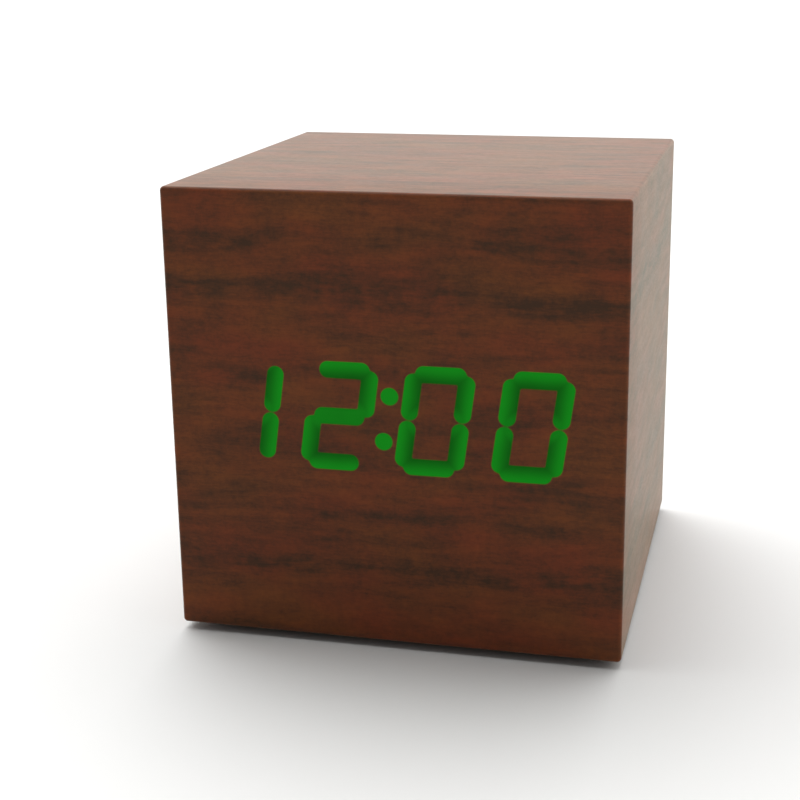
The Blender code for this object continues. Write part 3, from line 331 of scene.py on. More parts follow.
def effect(name, inputs, outputs):
    """An empty node group with those inputs and outputs, as (group, its inputs, its outputs)."""
    group = bpy.data.node_groups.new(name, "ShaderNodeTree")
    for label, kind in inputs.items():
        group.interface.new_socket(name=label, in_out="INPUT", socket_type=kind)
    for label, kind in outputs.items():
        group.interface.new_socket(name=label, in_out="OUTPUT", socket_type=kind)
    return group, group.nodes.new("NodeGroupInput").outputs, group.nodes.new("NodeGroupOutput").inputs


def place_effect(tree, group, inputs):
    """The outputs of an effect placed in a material."""
    return node(tree, "ShaderNodeGroup", inputs, node_tree=group).outputs


def millimetres(tree):
    """The place on the clock, in millimetres."""
    place = node(tree, "ShaderNodeTexCoord").outputs["Object"]
    return node(tree, "ShaderNodeVectorMath", {0: place, "Scale": 1 / MM}, operation="SCALE").outputs[0]


def bump(tree, shader, height, depth, strength=1.0):
    """Feeds a height, whose full range is that depth, to the shader's normal."""
    made = node(tree, "ShaderNodeBump", {"Height": height, "Distance": depth, "Strength": strength})
    tree.links.new(made.outputs[0], shader.inputs["Normal"])


def vector_maths(tree, operation, a, b, output="Vector"):
    """The output of a Vector Math node."""
    return node(tree, "ShaderNodeVectorMath", {0: a, 1: b}, operation=operation).outputs[output]


def noise(tree, where, scale, detail=2.0, roughness=0.5, stretch=(1, 1, 1)):
    """Noise from about 0 to 1, with the position first stretched."""
    stretched = node(tree, "ShaderNodeMapping", {"Vector": where, "Scale": stretch}).outputs[0]
    inputs = {"Vector": stretched, "Scale": scale, "Detail": detail, "Roughness": roughness}
    return node(tree, "ShaderNodeTexNoise", inputs).outputs["Fac"]


def mixed(tree, share, a, b):
    """Colour a mixed with colour b by that share."""
    made = node(tree, "ShaderNodeMix", {0: share}, data_type="RGBA")
    for place, colour in ((6, a), (7, b)):
        if isinstance(colour, bpy.types.NodeSocket):
            tree.links.new(colour, made.inputs[place])
        else:
            made.inputs[place].default_value = colour
    return made.outputs[2]


def lit_bars():
    """The lit bars and the colon's dots: (start, end, radius), in millimetres from the middle."""
    lean = math.tan(DIGIT_SLANT)
    bars = []
    for index, lit in enumerate(LIT_BARS):
        middle = DIGIT_PITCH * (index - 1.5)
        for ends in (BAR_ENDS[bar] for bar in lit):
            bars.append([(middle + across + lean * up, up, 0) for across, up in ends] + [BAR_RADIUS])
    for up in (COLON_UP, -COLON_UP):
        bars.append([(lean * up, up, 0), (lean * up, up, 0), COLON_RADIUS])
    return bars


def lit_bar_effect():
    """The distance from a point to the edge of a bar with round ends, below 0 inside it.

    The nearest point of the bar's centre line is From + h (To - From), with h = (P - From).(To - From) /
    |To - From|^2 held between 0 and 1. The distance is the length to that point less the radius.
    """
    given = {label: "NodeSocketVector" for label in ("Point", "From", "To")}
    given["Radius"] = "NodeSocketFloat"
    group, given, made = effect("lit_bar", given, {"Distance": "NodeSocketFloat"})
    along = vector_maths(group, "SUBTRACT", given["To"], given["From"])
    offset = vector_maths(group, "SUBTRACT", given["Point"], given["From"])
    reach = vector_maths(group, "DOT_PRODUCT", offset, along, "Value")
    length = vector_maths(group, "DOT_PRODUCT", along, along, "Value")
    share = maths(group, "DIVIDE", reach, maths(group, "MAXIMUM", length, 1e-6), clamp=True)
    nearest = node(group, "ShaderNodeVectorMath", {0: along, "Scale": share}, operation="SCALE").outputs[0]
    gap = vector_maths(group, "SUBTRACT", offset, nearest)
    distance = node(group, "ShaderNodeVectorMath", {0: gap}, operation="LENGTH").outputs["Value"]
    group.links.new(maths(group, "SUBTRACT", distance, given["Radius"]), made["Distance"])
    return group


def walnut_grain(tree, film):
    """Printed walnut, as (colour, height of the embossed grain): streaks, fibres, mottling and bands, the
    lowest band painted light.

    The streaks run along the film and sway a little. The print is body colour where darkness is 0, and
    dark grain where it is 1: the sum of what each layer and each band adds.
    """
    along, up, _ = node(tree, "ShaderNodeSeparateXYZ", {"Vector": film}).outputs
    sway = noise(tree, film, 1.0, 2.0, 0.5, (0.03, 0.10, 1))
    height = maths(tree, "ADD", up, maths(tree, "MULTIPLY_ADD", sway, GRAIN_SWAY, -GRAIN_SWAY / 2))
    level = node(tree, "ShaderNodeCombineXYZ", {0: along, 1: height}).outputs[0]
    broad = noise(tree, level, 1.0, 3.0, 0.6, (0.035, 0.24, 1))
    streaks = noise(tree, level, 1.0, 3.0, 0.6, (0.12, 0.8, 1))
    fibres = noise(tree, level, 1.0, 2.0, 0.6, (0.9, 4.5, 1))
    mottle = noise(tree, film, 1.1, 5.0, 0.8)
    clouds = noise(tree, film, 0.22, 2.0, 0.5)

    hue = ease(tree, noise(tree, film, 1.0, 2.0, 0.5, (0.05, 0.11, 1)), 0.3, 0.7)
    body = mixed(tree, hue, GRAIN_RED, GRAIN_OCHRE)
    dark = ease(tree, broad, 0.40, 0.66, 0.0, 0.26)
    layers = [(streaks, 0.75, 0.30), (fibres, 0.75, 0.18), (mottle, 0.75, 0.34), (clouds, 0.7, 0.2)]
    for layer, full, depth in layers:
        dark = maths(tree, "ADD", dark, ease(tree, layer, 0.3, full, 0.0, depth))
    patchy = maths(tree, "MULTIPLY_ADD", streaks, 0.5, maths(tree, "MULTIPLY", clouds, 0.5))
    patchy = ease(tree, patchy, 0.3, 0.6, 0.45, 1.0)
    # The bands darken the print, but the lowest is painted light that lightens it near the table.
    for middle_line, reach, depth in GRAIN_AND_PAINTED_LIGHT_BANDS:
        off = maths(tree, "ABSOLUTE", maths(tree, "SUBTRACT", height, middle_line))
        band = ease(tree, off, 0.0, reach, depth, 0.0)
        dark = maths(tree, "ADD", dark, maths(tree, "MULTIPLY", patchy, band))
    colour = mixed(tree, maths(tree, "MINIMUM", dark, 1.0), body, GRAIN_DARK)
    grain = maths(tree, "ADD", maths(tree, "MULTIPLY", fibres, 0.6), maths(tree, "MULTIPLY", streaks, 0.4))
    return colour, grain


def lit_digits(tree):
    """The digits behind the film, as (mask, colour): green with painted bevel light and shade, darkest
    towards each digit's middle.
    """
    x, y, z = node(tree, "ShaderNodeSeparateXYZ", {"Vector": millimetres(tree)}).outputs
    across = maths(tree, "SUBTRACT", x, DISPLAY_X)
    up = maths(tree, "SUBTRACT", z, DISPLAY_Z)
    point = node(tree, "ShaderNodeCombineXYZ", {0: across, 1: up}).outputs[0]
    bar = lit_bar_effect()
    distance = None
    for start, end, radius in lit_bars():
        ends = {"Point": point, "From": start, "To": end, "Radius": radius}
        found = place_effect(tree, bar, ends)["Distance"]
        distance = found if distance is None else maths(tree, "SMOOTH_MIN", distance, found, BAR_MELT)
    front = maths(tree, "LESS_THAN", y, FILM_LOW[1] / MM + 0.1)
    lit = maths(tree, "MULTIPLY", ease(tree, distance, -BAR_BLUR, BAR_BLUR, 1.0, 0.0), front)

    # Painted light and shade, as of a bevel: the green is lighter at each digit's outer rim and along its
    # middle line, and darker towards its hollows.
    upright = maths(tree, "SUBTRACT", across, maths(tree, "MULTIPLY", up, math.tan(DIGIT_SLANT)))
    column = maths(tree, "WRAP", upright, 0.0, DIGIT_PITCH)
    from_column = maths(tree, "ABSOLUTE", maths(tree, "SUBTRACT", column, DIGIT_PITCH / 2))
    from_waist = maths(tree, "ABSOLUTE", up)
    past_side = maths(tree, "SUBTRACT", from_column, GLOW_HALF_WIDTH)
    past_end = maths(tree, "SUBTRACT", from_waist, GLOW_HALF_HEIGHT)
    rim = ease(tree, maths(tree, "MAXIMUM", past_side, past_end), *GLOW_REACH)
    painted_waist_light = ease(tree, from_waist, *GLOW_WAIST, 0.65, 0.0)
    uneven = maths(tree, "MULTIPLY_ADD", noise(tree, point, 0.25, 1.0), 0.3, -0.15)
    bright = maths(tree, "ADD", maths(tree, "MAXIMUM", rim, painted_waist_light), uneven, clamp=True)
    return lit, mixed(tree, bright, GLOW_PAINTED_SHADE, GLOW_BRIGHT)


def film_print():
    """The film: printed grain, an embossed surface with a soft sheen, and the lit digits showing through."""
    made, tree, shader = material("film_print")
    shader.inputs["Specular IOR Level"].default_value = FILM_REFLECTION
    shader.inputs["Sheen Weight"].default_value = FILM_SHEEN
    shader.inputs["Sheen Roughness"].default_value = SHEEN_ROUGHNESS
    shader.inputs["Sheen Tint"].default_value = SHEEN_TINT
    shader.inputs["Emission Strength"].default_value = 1.0
    colour, grain = walnut_grain(tree, node(tree, "ShaderNodeUVMap", uv_map="film").outputs[0])
    lit, green = lit_digits(tree)
    tree.links.new(mixed(tree, lit, colour, LIT_FILM), shader.inputs["Base Color"])
    tree.links.new(mixed(tree, lit, NO_LIGHT, green), shader.inputs["Emission Color"])
    tree.links.new(ease(tree, grain, 0.3, 0.7, 0.34, 0.44), shader.inputs["Roughness"])
    bump(tree, shader, grain, EMBOSS_DEPTH, 0.5)
    return made


film = film_skin()
closed_seams(film)
thickened(film, FILM_THICKNESS)
smooth(film)
film.data.materials.append(film_print())
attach(film, "case")
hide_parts("woodgrain_wrap")

# ---- The fibreboard cube --------------------------------------------------------------------
# Five boards of medium-density fibreboard, glued into a cube that is open at the back. The film
# hides it, apart from the cut edges round the rear cover and round the battery box.

FIBRE_PALE = (0.34, 0.215, 0.115, 1)
FIBRE_DARK = (0.135, 0.075, 0.036, 1)
FIBRES_PER_MM = 2.2


def speckle_effect():
    """Grains scattered in a soft cloud, as in pressed fibres, rubber or resin."""
    given = {"Point": "NodeSocketVector", "Grains per mm": "NodeSocketFloat"}
    group, given, made = effect("speckle", given, {"Grains": "NodeSocketFloat", "Cloud": "NodeSocketFloat"})
    scale = given["Grains per mm"]
    where = {"Vector": given["Point"], "Scale": scale}
    cells = node(group, "ShaderNodeTexVoronoi", where).outputs["Distance"]
    fine = noise(group, given["Point"], maths(group, "MULTIPLY", scale, 2.5), 2.0)
    grains = maths(group, "MULTIPLY", ease(group, cells, 0.1, 0.6, 1.0, 0.0), ease(group, fine, 0.35, 0.65))
    cloud = noise(group, given["Point"], maths(group, "MULTIPLY", scale, 0.2), 3.0)
    group.links.new(grains, made["Grains"])
    group.links.new(ease(group, cloud, 0.3, 0.7), made["Cloud"])
    return group


def fibreboard():
    """Pressed wood fibres: pale chips and dark specks, with a dull, slightly furry cut edge."""
    made, tree, shader = material("fibreboard", roughness=0.85)
    speckle = place_effect(tree, SPECKLE, {"Point": millimetres(tree), "Grains per mm": FIBRES_PER_MM})
    patches = maths(tree, "MULTIPLY", speckle["Cloud"], 0.45)
    share = maths(tree, "MULTIPLY_ADD", speckle["Grains"], 0.55, patches)
    tree.links.new(mixed(tree, share, FIBRE_PALE, FIBRE_DARK), shader.inputs["Base Color"])
    tree.links.new(ease(tree, speckle["Cloud"], 0.0, 1.0, 0.78, 0.92), shader.inputs["Roughness"])
    bump(tree, shader, speckle["Grains"], 0.06 * MM)
    return made


def finished(made, *names):
    """Gives CAD pieces that keep their shape their material."""
    for name in names:
        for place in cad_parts[name].material_slots:
            place.material = made


SPECKLE = speckle_effect()
finished(fibreboard(), "case_core")

# ---- The rear cover -------------------------------------------------------------------------
# A black ABS plate, injection moulded with an even spark-eroded texture. Raised collars are moulded
# round the buttons, the jack, the microphone hole and the screws. Four screws hold it to the core.

BLACK = (0.022, 0.022, 0.024, 1)
BLACK_WORN = (0.085, 0.085, 0.090, 1)
COVER_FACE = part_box("rear_cover")[1][1]
COLLAR_PROUD = 0.25 * MM
COLLAR_DEPTH = 0.9 * MM
COLLAR_WIDTH = 0.65 * MM
COLLAR_SOFT = 0.18 * MM
BUTTON_GAP = 0.2 * MM
CAP_OVERHANG = 1.0 * MM  # how far the flange behind the cover reaches past a cap's side
JACK_WAY = 2.4 * MM  # radius of the hole that the plug goes through
MICROPHONE_WAY = 0.75 * MM
SCREW_WAY = 2.22 * MM
TURN_STEPS = 64
TO_REAR = (0, 1, 0)
TO_FRONT = (0, -1, 0)
TO_TOP = (0, 0, 1)


def middle(name):
    """The middle of a CAD piece's box."""
    return (np.array(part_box(name)[0]) + np.array(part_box(name)[1])) / 2


def eased(corners, radius, steps=4):
    """A line of points with its inner corners rounded.

    A corner P becomes (1-t)^2 A + 2t(1-t) P + t^2 B, from A before it to B after it, a radius away.
    """
    corners = np.array(corners, float)
    t = np.linspace(0, 1, steps + 1)[:, None]
    rows = [corners[:1]]
    for before, corner, after in zip(corners, corners[1:], corners[2:]):
        ends = []
        for other in (before, after):
            away = other - corner
            length = np.linalg.norm(away)
            ends.append(corner + away / length * min(radius, 0.45 * length))
        rows.append((1 - t) ** 2 * ends[0] + 2 * t * (1 - t) * corner + t**2 * ends[1])
    return np.concatenate(rows + [corners[-1:]])


def kept_edges(radius, height):
    """How sharply the outline turns at each row, from 0 to 1: sin of the turn over sin 20 degrees."""
    step = np.stack([np.diff(radius, axis=0), np.diff(height, axis=0)], axis=-1)
    step /= np.maximum(np.linalg.norm(step, axis=-1, keepdims=True), 1e-12)
    turn = step[:-1, :, 0] * step[1:, :, 1] - step[:-1, :, 1] * step[1:, :, 0]
    return np.pad(np.clip(turn / math.sin(math.radians(20)), 0, 1), ((1, 1), (0, 0)))


def around(name, radius, height, origin, axis, angles=None):
    """A form round an axis: point (i, j) is origin + radius (cos a_j U + sin a_j V) + height axis.

    Rows run from the foot, out and up, to the top. U, V and the axis are square to each other. The
    attribute "edge" is how sharp each row's corner is.
    """
    angles = np.linspace(0, 2 * math.pi, TURN_STEPS + 1) if angles is None else np.asarray(angles)
    radius, height = np.broadcast_arrays(*(np.asarray(part, float) + 0 * angles for part in (radius, height)))
    axis = np.array(axis, float)
    across = np.array((0.0, 1.0, 0.0) if abs(axis[0]) > 0.5 else (1.0, 0.0, 0.0))
    over = np.cross(axis, across)
    spoke = np.cos(angles)[:, None] * across + np.sin(angles)[:, None] * over
    points = np.array(origin) + radius[..., None] * spoke + height[..., None] * axis
    made = object_from(name, points, grid_faces(*radius.shape))
    edge = made.data.attributes.new("edge", "FLOAT", "POINT")
    edge.data.foreach_set("value", kept_edges(radius, height).astype(np.float32).ravel())
    closed_seams(made)
    smooth(made, 50)
    return made


def turned(name, corners, soft, origin, axis, steps=4):
    """A turned form, from a profile of (radius, height) corners that are eased by the soft radius."""
    profile = eased(corners, soft, steps)
    return around(name, profile[:, :1], profile[:, 1:], origin, axis)


def settled(piece, made, body="case", replaces=()):
    """Gives a piece its material, the body it moves with and the CAD pieces it stands for."""
    piece.data.materials.append(made)
    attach(piece, body)
    if replaces:
        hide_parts(*replaces)


def mould_effect():
    """The texture of a moulding tool, cloudy patches from the flow, and where fingers rub it."""
    given = {"Point": "NodeSocketVector", "Grains per mm": "NodeSocketFloat"}
    made = {name: "NodeSocketFloat" for name in ("Height", "Flow", "Rubbed")}
    group, given, made = effect("moulded_texture", given, made)
    point, scale = given["Point"], given["Grains per mm"]
    pits = node(group, "ShaderNodeTexVoronoi", {"Vector": point, "Scale": scale}, feature="SMOOTH_F1")
    ripple = noise(group, point, maths(group, "MULTIPLY", scale, 1.6), 2.0)
    height = maths(group, "ADD", maths(group, "MULTIPLY", pits.outputs["Distance"], 0.6), ripple)
    group.links.new(height, made["Height"])
    group.links.new(ease(group, noise(group, point, 0.06, 3.0, 0.6), 0.35, 0.65), made["Flow"])
    rubbed = maths(group, "MULTIPLY", noise(group, point, 0.22, 3.0, 0.65), noise(group, point, 2.0, 2.0))
    group.links.new(ease(group, rubbed, 0.16, 0.34), made["Rubbed"])
    return group


def moulded_plastic(name, colour, worn, grains_per_mm=4.0, roughness=(0.42, 0.6), depth=0.025 * MM):
    """Moulded plastic: an even fine texture, cloudy gloss, and edges that handling has rubbed paler."""
    made, tree, shader = material(name)
    mould = place_effect(tree, MOULD, {"Point": millimetres(tree), "Grains per mm": grains_per_mm})
    edge = node(tree, "ShaderNodeAttribute", attribute_name="edge").outputs["Fac"]
    wear = maths(tree, "MULTIPLY", edge, mould["Rubbed"])
    tint = maths(tree, "MULTIPLY_ADD", mould["Flow"], 0.10, maths(tree, "MULTIPLY", wear, 0.8), clamp=True)
    tree.links.new(mixed(tree, tint, colour, worn), shader.inputs["Base Color"])
    dull = ease(tree, mould["Flow"], 0.0, 1.0, *roughness)
    gloss = maths(tree, "SUBTRACT", dull, maths(tree, "MULTIPLY", mould["Rubbed"], 0.12))
    tree.links.new(gloss, shader.inputs["Roughness"])
    bump(tree, shader, mould["Height"], depth, 0.7)
    return made


def collar(name, place, radius):
    """A raised ring moulded round a hole, lining the start of it."""
    outer = radius + COLLAR_WIDTH
    low, high = COVER_FACE - COLLAR_DEPTH, COVER_FACE + COLLAR_PROUD
    half = (radius + outer) / 2
    corners = [(half, low), (outer, low), (outer, high), (radius, high), (radius, low), (half, low)]
    ring = turned(name, corners, COLLAR_SOFT, (place[0], 0, place[2]), TO_REAR)
    settled(ring, black_plastic)


MOULD = mould_effect()
black_plastic = moulded_plastic("black_abs", BLACK, BLACK_WORN)
finished(black_plastic, "rear_cover")
for button in ("set", "up", "down"):
    low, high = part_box(f"{button}_button_cap")
    side = (high[0] - low[0]) / 2 - CAP_OVERHANG
    collar(f"{button}_button_collar", middle(f"{button}_button_cap"), side + BUTTON_GAP)
collar("jack_collar", middle("power_jack"), JACK_WAY)
collar("microphone_collar", middle("microphone"), MICROPHONE_WAY)
for number in range(1, 5):
    collar(f"cover_screw_collar_{number}", middle(f"rear_cover_screw_{number}"), SCREW_WAY)

# ---- The screws -----------------------------------------------------------------------------
# Self-tapping pan-head screws with a cross drive: black zinc where they show in the rear cover,
# bright zinc inside. The thread is rolled, and the drive is pressed into the head.

HEAD_HEIGHT = 1.1 * MM
HEAD_RADIUS = 2.0 * MM
HEAD_CROWN = 0.32 * MM
HEAD_SOFT = 0.2 * MM
HEAD_ROWS = 26
SHANK_RADIUS = 0.9 * MM
THREAD_PITCH = 0.75 * MM
THREAD_DEPTH = 0.22 * MM
ROWS_IN_PITCH = 6
POINT_LENGTH = 1.1 * MM
POINT_BULGE = 0.7  # 1 is a straight cone, and less is a fuller point
DRIVE_LENGTH = 1.2 * MM
DRIVE_WIDTH = 0.33 * MM
DRIVE_DEPTH = 0.75 * MM
DRIVE_SOFT = 0.14 * MM
DRIVE_TAPER = 0.35  # share of the depth lost at the ends of the cross
DARK_ZINC = (0.050, 0.050, 0.055, 1)
DARK_ZINC_WORN = (0.30, 0.29, 0.28, 1)
BRIGHT_ZINC = (0.62, 0.62, 0.60, 1)
BRIGHT_ZINC_DULL = (0.36, 0.36, 0.34, 1)


def screw(name, length, origin, axis):
    """A threaded screw that points down its axis from its head, on one grid of (row, angle).

    Shank: r = R - depth |2 frac(h / pitch - angle / turn) - 1|, drawn in to the point at its start.
    Head: h = height - crown (r / R)^2, less the drive's depth inside the cross of two bars.
    """
    angles = np.linspace(0, 2 * math.pi, TURN_STEPS + 1)
    seat = length - HEAD_HEIGHT
    rise = np.linspace(0, seat, int(seat / THREAD_PITCH * ROWS_IN_PITCH))[:, None]
    wave = np.abs(2 * np.mod(rise / THREAD_PITCH - angles / (2 * math.pi), 1) - 1)
    reach = np.clip(rise / POINT_LENGTH, 0, 1) ** POINT_BULGE
    shank = (SHANK_RADIUS - THREAD_DEPTH * wave) * reach
    under = [(SHANK_RADIUS, seat), (HEAD_RADIUS, seat), (HEAD_RADIUS, length - HEAD_CROWN)]
    under = eased(under, HEAD_SOFT)[1:]
    r = np.linspace(1, 0, HEAD_ROWS)[:, None] * HEAD_RADIUS
    x, z = r * np.cos(angles), r * np.sin(angles)
    bars = [np.maximum(np.abs(a) - DRIVE_LENGTH, np.abs(b) - DRIVE_WIDTH) for a, b in ((x, z), (z, x))]
    sunk = np.clip(0.5 - np.minimum(*bars) / DRIVE_SOFT, 0, 1)
    deep = DRIVE_DEPTH * (1 - DRIVE_TAPER * r / DRIVE_LENGTH)
    top = length - HEAD_CROWN * (r / HEAD_RADIUS) ** 2 - deep * sunk
    flat = np.zeros_like(angles)
    radius = np.concatenate([shank, under[:, :1] + flat, r + flat])
    height = np.concatenate([rise + flat, under[:, 1:] + flat, top])
    return around(name, radius, height, origin, axis, angles)


def brushed_effect():
    """Fine lines along one direction of a metal, and cloudy tarnish."""
    given = {"Point": "NodeSocketVector", "Stretch": "NodeSocketVector"}
    group, given, made = effect("brushed", given, {"Lines": "NodeSocketFloat", "Tarnish": "NodeSocketFloat"})
    lines = noise(group, given["Point"], 1.0, 3.0, 0.6, given["Stretch"])
    group.links.new(lines, made["Lines"])
    group.links.new(ease(group, noise(group, given["Point"], 0.7, 4.0, 0.65), 0.35, 0.7), made["Tarnish"])
    return group


def plated_metal(name, bright, dull, stretch=(6, 6, 6), roughness=(0.24, 0.42)):
    """Plated steel: cloudy tarnish, fine lines from rolling, and edges rubbed bright."""
    made, tree, shader = material(name, metallic=1.0)
    brushed = place_effect(tree, BRUSHED, {"Point": millimetres(tree), "Stretch": stretch})
    edge = node(tree, "ShaderNodeAttribute", attribute_name="edge").outputs["Fac"]
    share = maths(tree, "SUBTRACT", brushed["Tarnish"], maths(tree, "MULTIPLY", edge, 0.6), clamp=True)
    tree.links.new(mixed(tree, share, bright, dull), shader.inputs["Base Color"])
    tree.links.new(ease(tree, brushed["Lines"], 0.3, 0.7, *roughness), shader.inputs["Roughness"])
    bump(tree, shader, brushed["Lines"], 0.01 * MM, 0.6)
    return made


def screw_group(made, group, count, axis):
    """Like screws, each in the place of its CAD piece."""
    index = [abs(part) for part in axis].index(1)
    for number in range(1, count + 1):
        low, high = (np.array(corner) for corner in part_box(f"{group}_{number}"))
        origin = (low + high) / 2
        origin[index] = low[index] if axis[index] > 0 else high[index]
        piece = screw(f"{group}_{number}_threaded", high[index] - low[index], origin, axis)
        settled(piece, made, replaces=[f"{group}_{number}"])


BRUSHED = brushed_effect()
black_zinc = plated_metal("black_zinc", DARK_ZINC_WORN, DARK_ZINC, roughness=(0.34, 0.5))
bright_zinc = plated_metal("bright_zinc", BRIGHT_ZINC, BRIGHT_ZINC_DULL)
screw_group(black_zinc, "rear_cover_screw", 4, TO_REAR)
screw_group(bright_zinc, "display_board_screw", 4, TO_REAR)
screw_group(bright_zinc, "main_board_screw", 4, TO_FRONT)
screw_group(bright_zinc, "battery_box_screw", 2, TO_TOP)

# ---- The buttons ----------------------------------------------------------------------------
# Three moulded caps with a dished top and a raised mark, each held in its hole by a flange and
# pressed on the white plunger of a switch behind it. A cap and its plunger move together.

CAP_GREY = (0.040, 0.040, 0.043, 1)
CAP_WORN = (0.15, 0.15, 0.155, 1)
CAP_RADIUS = 2.8 * MM
CAP_FLANGE = 3.8 * MM
CAP_FLANGE_LOW = 1.1 * MM  # from the cap's foot
CAP_FLANGE_HIGH = 2.0 * MM
CAP_STEM = 1.7 * MM
CAP_DISH = 0.35 * MM
CAP_RIM = 0.32 * MM
CAP_SOFT = 0.3 * MM
DISH_ROWS = 14
MARK_SIZE = 1.15 * MM  # from a triangle's middle to its corners
SQUARE_SIZE = 0.92 * MM
MARK_PROUD = 0.14 * MM
MARK_BEVEL = 0.05 * MM
MARK_TOP = 0.93  # share of the outline's size where the bevel ends
MARK_WHITE = (0.62, 0.62, 0.60, 1)
MARK_WORN = (0.40, 0.40, 0.39, 1)
PLUNGER_WHITE = (0.70, 0.69, 0.65, 1)
PLUNGER_AGED = (0.55, 0.52, 0.44, 1)
PLUNGER_SOFT = 0.2 * MM


def button_cap(name):
    """A turned cap. Its dished top is h = top - dish (1 - (r / inner)^2)^2 inside a rounded rim."""
    low, high = (corner[1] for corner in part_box(name))
    top = high - low
    inner = CAP_RADIUS - CAP_RIM
    side = [(0, 0), (CAP_STEM, 0), (CAP_STEM, CAP_FLANGE_LOW), (CAP_FLANGE, CAP_FLANGE_LOW)]
    side += [(CAP_FLANGE, CAP_FLANGE_HIGH), (CAP_RADIUS, CAP_FLANGE_HIGH), (CAP_RADIUS, top), (inner, top)]
    side = eased(side, CAP_SOFT, 6)
    r = np.linspace(inner, 0, DISH_ROWS)[1:]
    dish = np.stack([r, top - CAP_DISH * (1 - (r / inner) ** 2) ** 2], axis=1)
    profile = np.concatenate([side, dish])
    place = middle(name)
    place[1] = low
    return around(f"{name}_turned", profile[:, :1], profile[:, 1:], place, TO_REAR)


def raised_mark(name, corners, place, low, high, axis):
    """A flat mark: its rows are an eased outline at the foot and near the top, then drawn in to a bevel."""
    corners = np.array(corners, float)
    start = (corners[:1] + corners[-1:]) / 2
    edge = eased(np.concatenate([start, corners, start]), 0.25 * np.abs(corners).max(), 5)
    angles = np.unwrap(np.arctan2(edge[:, 1], edge[:, 0]))
    reach = np.linalg.norm(edge, axis=1)
    share = np.array([0, 1, 1, MARK_TOP, 0])[:, None]
    height = np.array([low, low, high - MARK_BEVEL, high, high])[:, None]
    if angles[-1] < angles[0]:
        angles, reach = angles[::-1], reach[::-1]
    return around(name, share * reach, height, place, axis, angles)


def polygon(count, radius, turn=0.0):
    """Corners of a regular outline, the first one at the turn."""
    angle = turn + np.arange(count) * 2 * math.pi / count
    return radius * np.stack([np.cos(angle), np.sin(angle)], axis=1)


button_plastic = moulded_plastic("button_abs", CAP_GREY, CAP_WORN, 5.0, (0.34, 0.5), 0.012 * MM)
mark_paint = moulded_plastic("mark_paint", MARK_WHITE, MARK_WORN, 6.0, (0.45, 0.6), 0.008 * MM)
plunger_plastic = moulded_plastic("plunger_acetal", PLUNGER_WHITE, PLUNGER_AGED, 3.0, (0.35, 0.5), 0.01 * MM)
BUTTON_MARKS = {
    "set": polygon(4, SQUARE_SIZE, math.pi / 4),
    "up": polygon(3, MARK_SIZE, -math.pi / 2),
    "down": polygon(3, MARK_SIZE, math.pi / 2),
}
for button, corners in BUTTON_MARKS.items():
    body = f"{button}_button"
    settled(button_cap(f"{body}_cap"), button_plastic, body, [f"{body}_cap"])
    place = middle(f"{body}_cap")
    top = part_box(f"{body}_cap")[1][1] - place[1]
    dish = top - CAP_DISH
    mark = raised_mark(f"{button}_mark", corners, place, dish - CAP_DISH, dish + MARK_PROUD, TO_REAR)
    settled(mark, mark_paint, body)
    plunger = f"{button}_switch_plunger"
    low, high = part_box(plunger)
    reach, tall = (high[0] - low[0]) / 2, high[1] - low[1]
    place = middle(plunger)
    place[1] = low[1]
    corners = [(0, 0), (reach, 0), (reach, tall), (0, tall)]
    form = turned(f"{plunger}_turned", corners, PLUNGER_SOFT, place, TO_REAR)
    settled(form, plunger_plastic, body, [plunger])

# ---- The power jack -------------------------------------------------------------------------
# A round jack soldered to the main board: a black barrel, a plated sleeve that grips the plug, and
# the pin in the middle of it.

JACK_LOW, JACK_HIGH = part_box("power_jack")
JACK_LENGTH = JACK_HIGH[1] - JACK_LOW[1]
JACK_RADIUS = 4.0 * MM
JACK_BORE = 1.9 * MM
JACK_FLOOR = 1.4 * MM
JACK_MOUTH = (0.25 * MM, 0.35 * MM)  # across and down, of the bevel that guides the plug in
JACK_SOFT = 0.15 * MM
JACK_PIN = 0.65 * MM
PIN_SOFT = 0.3 * MM
PIN_SHARE = 0.9  # of the jack's length
SLEEVE = 0.16 * MM
SLEEVE_SHORT = 1.2 * MM  # how far the sleeve stops short of the mouth
SLEEVE_SOFT = 0.05 * MM
RESIN_BLACK = (0.030, 0.030, 0.032, 1)
RESIN_GREY = (0.075, 0.075, 0.078, 1)
JACK_PLACE = (middle("power_jack")[0], JACK_LOW[1], middle("power_jack")[2])

resin = moulded_plastic("black_resin", RESIN_BLACK, RESIN_GREY, 5.0, (0.45, 0.62), 0.012 * MM)
corners = [(0, 0), (JACK_RADIUS, 0), (JACK_RADIUS, JACK_LENGTH), (JACK_BORE + JACK_MOUTH[0], JACK_LENGTH)]
corners += [(JACK_BORE, JACK_LENGTH - JACK_MOUTH[1]), (JACK_BORE, JACK_FLOOR), (0, JACK_FLOOR)]
barrel = turned("jack_barrel", corners, JACK_SOFT, JACK_PLACE, TO_REAR)
settled(barrel, resin, replaces=["power_jack"])
mouth, half = JACK_LENGTH - SLEEVE_SHORT, JACK_BORE - SLEEVE / 2
corners = [(half, JACK_FLOOR), (JACK_BORE, JACK_FLOOR), (JACK_BORE, mouth), (JACK_BORE - SLEEVE, mouth)]
corners += [(JACK_BORE - SLEEVE, JACK_FLOOR), (half, JACK_FLOOR)]
sleeve = turned("jack_sleeve", corners, SLEEVE_SOFT, JACK_PLACE, TO_REAR)
settled(sleeve, bright_zinc)
tip = JACK_LENGTH * PIN_SHARE
corners = [(0, JACK_FLOOR / 2), (JACK_PIN, JACK_FLOOR / 2), (JACK_PIN, tip), (0, tip)]
pin = turned("jack_pin", corners, PIN_SOFT, JACK_PLACE, TO_REAR)
settled(pin, bright_zinc)

# ---- The circuit boards ---------------------------------------------------------------------
# Two glass-fibre boards with green solder mask over copper tracks. The display board carries the
# green lamps behind the digits, and the main board everything else.

